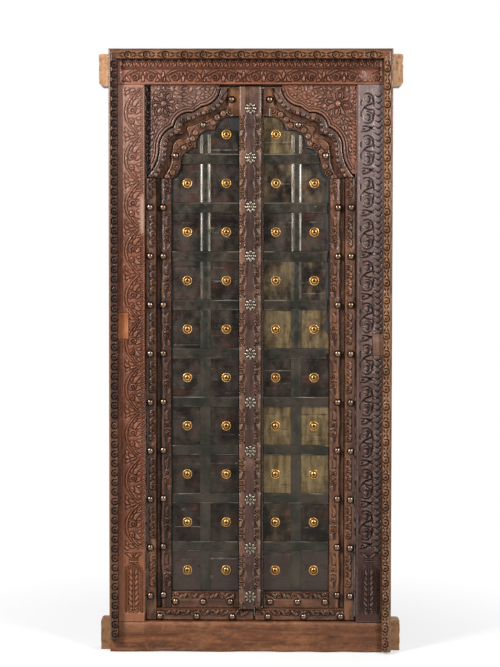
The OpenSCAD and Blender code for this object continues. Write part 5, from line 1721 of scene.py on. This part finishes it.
def bosses(side):
    """Spun brass bosses: thin rim, groove and round dome, with a nail through each."""
    shares = [
        (1, 0), (1, 0.14), (0.95, 0.26), (0.86, 0.31), (0.79, 0.26), (0.74, 0.22), (0.7, 0.3), (0.66, 0.45),
        (0.58, 0.62), (0.47, 0.78), (0.34, 0.9), (0.25, 0.93), (0.2, 0.86), (0.08, 0.85),
    ]
    boss = turned("boss", [(BOSS_R * r, BOSS_H * h) for r, h in shares], 32)
    radial_note(boss, (BOSS_R * 0.74, BOSS_R * 0.22), (BOSS_R * 0.88, BOSS_R * 0.5), 1.3)
    smooth(boss, 60)
    copies = copy_at(boss, boss_places(side), FLIP[side])
    dress(joined(f"{side}_brass_bosses", copies), f"{side}_leaf", "brass", BRASS, f"{side}_bosses")
    head_r = 3.8
    shares = [(1, -0.6), (1, 1.2), (0.82, 2.6), (0.5, 3.6), (0.14, 3.9)]
    nail = turned("nail", [(head_r * r, BOSS_H + lift) for r, lift in shares], 16)
    radial_note(nail, (head_r,), (), 0.8)
    smooth(nail, 60)
    copies = copy_at(nail, boss_places(side), FLIP[side])
    dress(joined(f"{side}_nails", copies), f"{side}_leaf", "iron", NAIL, f"{side}_boss_nails")


def studs(side):
    """Domed iron studs: shares of the radius, and heights."""
    profile = [
        (0.94, 0), (1, 1.4), (1, 2.6), (0.93, 5), (0.78, 7.4), (0.56, 9.4), (0.3, 10.6), (0.08, STUD_H),
    ]
    stud = turned("stud", [(STUD_R * share, height) for share, height in profile], 24)
    radial_note(stud, (STUD_R,), (0,), 3)
    smooth(stud, 70)
    copies = copy_at(stud, stud_places(), FLIP[side])
    dress(joined(f"{side}_domed_studs", copies), f"{side}_leaf", "stud_iron", STUD, f"{side}_studs")


def rosettes():
    """Eight-petalled flowers: a turned disc whose rings are pushed into petals."""
    profile = [
        (1, 0), (1, 1.2), (0.96, 2.2), (0.86, 3.2), (0.74, 3.8), (0.6, 3.8), (0.46, 3.2), (0.36, 2.8),
        (0.33, 4.4), (0.24, 6.2), (0.12, ROSETTE_H), (0.03, ROSETTE_H + 0.2),
    ]
    flower = turned("rosette", [(ROSETTE_R * share, height) for share, height in profile], 64)
    places = places_of(flower.data) / MM
    r = np.hypot(places[:, X], places[:, Z])
    angle = np.arctan2(places[:, Z], places[:, X])
    petal = np.abs(np.cos(4 * angle))
    outer = smooth_step(r, ROSETTE_R * 0.38, ROSETTE_R * 0.7)
    gap = np.clip(1 - petal * 1.7, 0, 1)
    scale = 1 - outer * 0.3 * (1 - np.clip(petal * 1.25, 0, 1) ** 0.7)
    lift = np.where(places[:, Y] < -0.6, outer * (1.4 * petal - 1.6 * gap), 0)
    places[:, X] *= scale
    places[:, Z] *= scale
    places[:, Y] = np.minimum(places[:, Y] - lift, 0)
    set_places(flower.data, places * MM)
    ring = np.exp(-((r - ROSETTE_R * 0.34) / 1.3) ** 2)
    note(flower.data, "cavity", np.clip(0.54 + outer * (0.26 * petal - 0.5 * gap) - 0.35 * ring, 0, 1))
    smooth(flower, 50)
    levels = [row_level(i) for i in range(-1, STRAP_ROWS + 1)]
    copies = copy_at(flower, [(0, POST_Y, level) for level in levels])
    dress(joined("flower_rosettes", copies), "left_leaf", "rosette_metal", ROSETTE, "post_rosettes")


def meeting_lip(name, near, far, low, high):
    """A strip behind the face whose meeting edge is rounded about the pivots."""
    deselect()
    back = PLANK_BACK - HAIR
    centre = Vector(((near + far) / 2, (PLANK_Y + back) / 2, (low + high) / 2)) * MM
    bpy.ops.mesh.primitive_cube_add(size=1, location=centre)
    strip = bpy.context.object
    strip.name = name
    strip.scale = (abs(far - near) * MM, (back - PLANK_Y) * MM, (high - low) * MM)
    bpy.ops.object.transform_apply(location=True, rotation=True, scale=True)
    edit(
        lambda: bpy.ops.mesh.select_all(action="SELECT"),
        lambda: bpy.ops.mesh.subdivide(number_cuts=8),
    )
    places = places_of(strip.data) / MM
    edge = np.abs(places[:, X] - far) < 0.01
    places[edge, X] = swing_edge(far, places[edge, Y])
    set_places(strip.data, places * MM)
    note(strip.data, "cavity", np.full(len(places), 0.5))
    return strip


def post():
    """Centre post: curls along both edges between the flowers, bevelled meeting edge, lip and heel."""
    top = POST_TOP + POST_RISE
    x, z = face_grid(-POST_HALF, POST_HALF, POST_FOOT, top, POST_STEP)
    cut = Carving(x, z)
    bed = 4.4
    bevel_w, bevel_d = POST_BEVEL
    right = POST_HALF - bevel_w
    for i in range(-1, STRAP_ROWS + 1):
        low = row_level(i - 1)
        share = (z - low) / ROW
        group = smooth_step(share, 0.08, 0.17) * smooth_step(share, 0.92, 0.83)
        for edge, way in ((-POST_HALF, 1), (right, -1)):
            wave = 20 + 2.0 * np.cos((share - 0.5) * 6 * np.pi)
            cut.sink(group * smooth_step(way * (x - edge), wave + 2, wave - 6), bed)
            line = edge + way * 10
            for k, at in enumerate((0.23, 0.36, 0.5, 0.64, 0.77)):
                place = np.array([line, low + ROW * at])
                if k == 2:
                    cut.leaf(place - [way * 7, 10], place + [way * 6, 11], way * 4, 14, 6, -bed)
                else:
                    curl(cut, place, 10.5, 90 + way * 60, 7, -bed)
            for at, end in ((0.16, 0.1), (0.84, 0.9)):
                cut.leaf((line, low + ROW * at), (line, low + ROW * end), 2, 12, 5, -bed)
    cut.wear(91)
    height = cut.grid() - bevel_d * np.clip((x - right) / bevel_w, 0, 1)
    height -= 2.5 * smooth_step(x, -POST_HALF + 3, -POST_HALF)
    board = relief_board("post_board", x, z, height, POST_Y, PLANK_BACK)
    lip_foot = LEAF_FOOT + OUTER_RAIL_H + 1
    lip = meeting_lip("post_lip", POST_HALF - 2, LIP_X + HAIR, lip_foot, top - HAIR)
    heel_end = span("post_heel", X)[1] + HAIR
    heel = meeting_lip("post_heel", -POST_HALF, heel_end, LEAF_FOOT, POST_FOOT + 1)
    # The post's ridges are paled more here: wear and painted highlight on its lumps
    finish = wood("post_wood", **POST_BROWN, shift=13.0, recess=0.75, rub_and_highlight=0.6, patches=pale_lit_left)
    whole = joined("carved_post", [board, lip, heel])
    dress(whole, "left_leaf", "post_wood", finish, "centre_post", "post_heel")


def pale_lit_left(finish, body):
    """The post's left edge is warmer and paler, as rubbed wood and as painted highlight; its right edge is
    darker.
    """
    # Painted highlight, besides wear, on the left carved edge
    body = finish.mix(finish.between("X", -16, -22) * 0.5, body, POST_WARM_LIT)
    return finish.mix(finish.between("X", 12, 18) * 0.45, body, POST_DARK)


# Stage: floor, light and camera, in metres and watts
FLOOR_R = 12
FLOOR_WHITE = (0.9, 0.9, 0.9, 1)
WHITE = (1, 1, 1, 1)
AMBIENT = 0.2
KEY_PLACE, KEY_POWER = (-2.2, -2.3, 2.6), 160
FILL_PLACE, FILL_POWER = (2.1, -2.7, 2.45), 121
BACK_PLACE, BACK_POWER = (1.6, 3.2, 2.8), 60
FRONT_AIM, BACK_AIM = (0, 0, 1.3), (0, 0, 1.0)
FRONT_LAMP, BACK_LAMP = (0.8, 1.2), (1.4, 1.4)
# Camera: place in metres, turn in radians and focal length in pixels of a frame 667 high
CAMERA_PLACE = (0.049, -5.0, 1.2718)
CAMERA_YAW, CAMERA_PITCH, CAMERA_ROLL = -0.0102, -0.0335, 0.0013
FOCAL_PX = 1440.28
FRAME_H_PX = 667
SENSOR_H = 24


def floor():
    """White ground under the door."""
    deselect()
    bpy.ops.mesh.primitive_circle_add(vertices=96, radius=FLOOR_R, fill_type="NGON")
    ground = bpy.context.object
    ground.name = "floor"
    finish = Finish("pale_floor")
    x, y = finish.along("X"), finish.along("Y")
    away = (x * x + y * y) ** 0.5
    finish.set(Base_Color=FLOOR_WHITE, Roughness=0.8)
    bright = finish.node("ShaderNodeEmission", {}, {"Color": WHITE, "Strength": 1.0}, "Emission")
    share = finish.ramp(away, 0.4, 1.6) * 0.5 + 0.5
    out = finish.tree.nodes["Material Output"]
    base = Value(finish, finish.shader.outputs["BSDF"])
    mixed = finish.node("ShaderNodeMixShader", {}, {0: share, 1: base, 2: bright}, "Shader")
    finish.feed(out.inputs["Surface"], mixed)
    ground.data.materials.append(finish.material)
    ground.visible_diffuse = False


def soft_light(name, place, aim, size, power):
    """A rectangular lamp, turned to what it aims at."""
    light = bpy.data.lights.new(name, "AREA")
    light.shape = "RECTANGLE"
    light.size, light.size_y = size
    light.energy = power
    lamp = bpy.data.objects.new(name, light)
    bpy.context.collection.objects.link(lamp)
    lamp.location = place
    lamp.rotation_euler = (Vector(aim) - Vector(place)).to_track_quat("-Z", "Y").to_euler()


def studio():
    """White surroundings and three soft lights."""
    world = bpy.data.worlds.new("studio")
    bpy.context.scene.world = world
    world.use_nodes = True
    nodes, links = world.node_tree.nodes, world.node_tree.links
    sky = nodes["Background"]
    sky.inputs["Color"].default_value = WHITE
    path = nodes.new("ShaderNodeLightPath")
    strength = nodes.new("ShaderNodeMapRange")
    strength.inputs["To Min"].default_value = AMBIENT
    strength.inputs["To Max"].default_value = 1.0
    links.new(path.outputs["Is Camera Ray"], strength.inputs["Value"])
    links.new(strength.outputs["Result"], sky.inputs["Strength"])
    soft_light("key", KEY_PLACE, FRONT_AIM, FRONT_LAMP, KEY_POWER)
    soft_light("fill", FILL_PLACE, FRONT_AIM, FRONT_LAMP, FILL_POWER)
    soft_light("back", BACK_PLACE, BACK_AIM, BACK_LAMP, BACK_POWER)
    bpy.context.scene.view_settings.view_transform = "Standard"


def camera():
    """The camera that fits the photograph."""
    lens = bpy.data.cameras.new("camera")
    lens.sensor_fit = "VERTICAL"
    lens.sensor_height = SENSOR_H
    lens.lens = FOCAL_PX * lens.sensor_height / FRAME_H_PX
    eye = bpy.data.objects.new("camera", lens)
    bpy.context.collection.objects.link(eye)
    forward = Vector((
        math.sin(CAMERA_YAW) * math.cos(CAMERA_PITCH), math.cos(CAMERA_YAW) * math.cos(CAMERA_PITCH),
        math.sin(CAMERA_PITCH),
    ))
    level = Vector((math.cos(CAMERA_YAW), -math.sin(CAMERA_YAW), 0))
    upward = level.cross(forward)
    right = level * math.cos(CAMERA_ROLL) + upward * math.sin(CAMERA_ROLL)
    upward = right.cross(forward)
    turn = Matrix((right, upward, -forward)).transposed().to_4x4()
    eye.matrix_world = Matrix.Translation(CAMERA_PLACE) @ turn
    bpy.context.scene.camera = eye


# Finishes of the fittings
SHEET = aged_sheet()
# The straps' bright tone is the colour of the painted highlight on their folds
STRAP = metal("strap_iron", (0.036, 0.036, 0.028), (0.078, 0.062, 0.047), (0.44, 0.4, 0.33), 0.3, 40.0)
# The strips' bright tone is the colour of the painted highlight on their folds
STRIP = metal(
    "strip_iron", (0.042, 0.041, 0.032), (0.08, 0.066, 0.05), (0.46, 0.43, 0.38), 0.3, 40.0, sheen=0.3,
)
BRASS = metal("rubbed_brass", (0.6, 0.34, 0.11), (0.4, 0.2, 0.06), (0.8, 0.52, 0.21), 0.3, 90.0, 0.35)
NAIL = metal("nail_iron", (0.03, 0.026, 0.024), (0.05, 0.04, 0.034), (0.2, 0.18, 0.16), 0.42, 120.0)
STUD = metal("stud_iron", (0.21, 0.14, 0.096), (0.13, 0.081, 0.054), (0.34, 0.25, 0.18), 0.22, 80.0)
ROSETTE = metal("rosette_metal", (0.16, 0.132, 0.1), (0.105, 0.08, 0.058), (0.38, 0.33, 0.27), 0.32, 90.0)

# The pieces, in the order in which they are set up
floor()
studio()
camera()
sill()
head()
for side in ("left", "right"):
    jamb(side)
    spandrel(side)
top_moulding()
for side, part, tones, seed in (
    ("left", "upper", BLACKENED, 51), ("left", "lower", DARKER_BROWN, 53),
    ("right", "upper", TAN, 55), ("right", "lower", TAN, 57),
):
    side_moulding(side, part, tones, seed)
# On the left leaf the stiles' darker tones also paint the shade that the left jamb and the outer stile cast
# on them
for side, outer, inner, seed in (("left", DARKER_BROWN, INNER_SHADED, 81), ("right", BROWN, BROWN, 87)):
    outer_stile(side, outer, seed)
    inner_stile(side, inner, seed + 1)
    outer_arch(side, GREY_BROWN, seed + 2)
    inner_arch(side, ARCH_BROWN, seed + 3)
    bottom_rails(side, BROWN, seed + 4)
    cladding(side)
    cross_straps(side)
    upright_straps(side)
    bosses(side)
    studs(side)
post()
rosettes()

# Nodes that are shown as they are
BOARDS = boards_with_gap_shade()
LEDGE = wood("ledge_wood", **LEDGE_PINE, grain_axis=X, carved=False, shift=17.0)
IRON = metal("pivot_iron", (0.06, 0.052, 0.047), (0.09, 0.07, 0.058), (0.2, 0.18, 0.16), 0.45, 70.0)
PATCH_LEFT = wood("left_patch_wood", **PATCH, carved=False, shift=19.0)
PATCH_RIGHT = wood("right_patch_wood", **RIGHT_PATCH, carved=False)
for side in ("left", "right"):
    for i in (1, 2, 3):
        paint_node(f"{side}_plank_{i}", BOARDS)
    paint_node(f"{side}_ledges", LEDGE)
    for piece in ("upper_pivot", "lower_pivot", "pivot_cup", "head_bush"):
        paint_node(f"{side}_{piece}", IRON)
paint_node("left_jamb_patch", PATCH_LEFT)
paint_node("right_jamb_patch", PATCH_RIGHT)
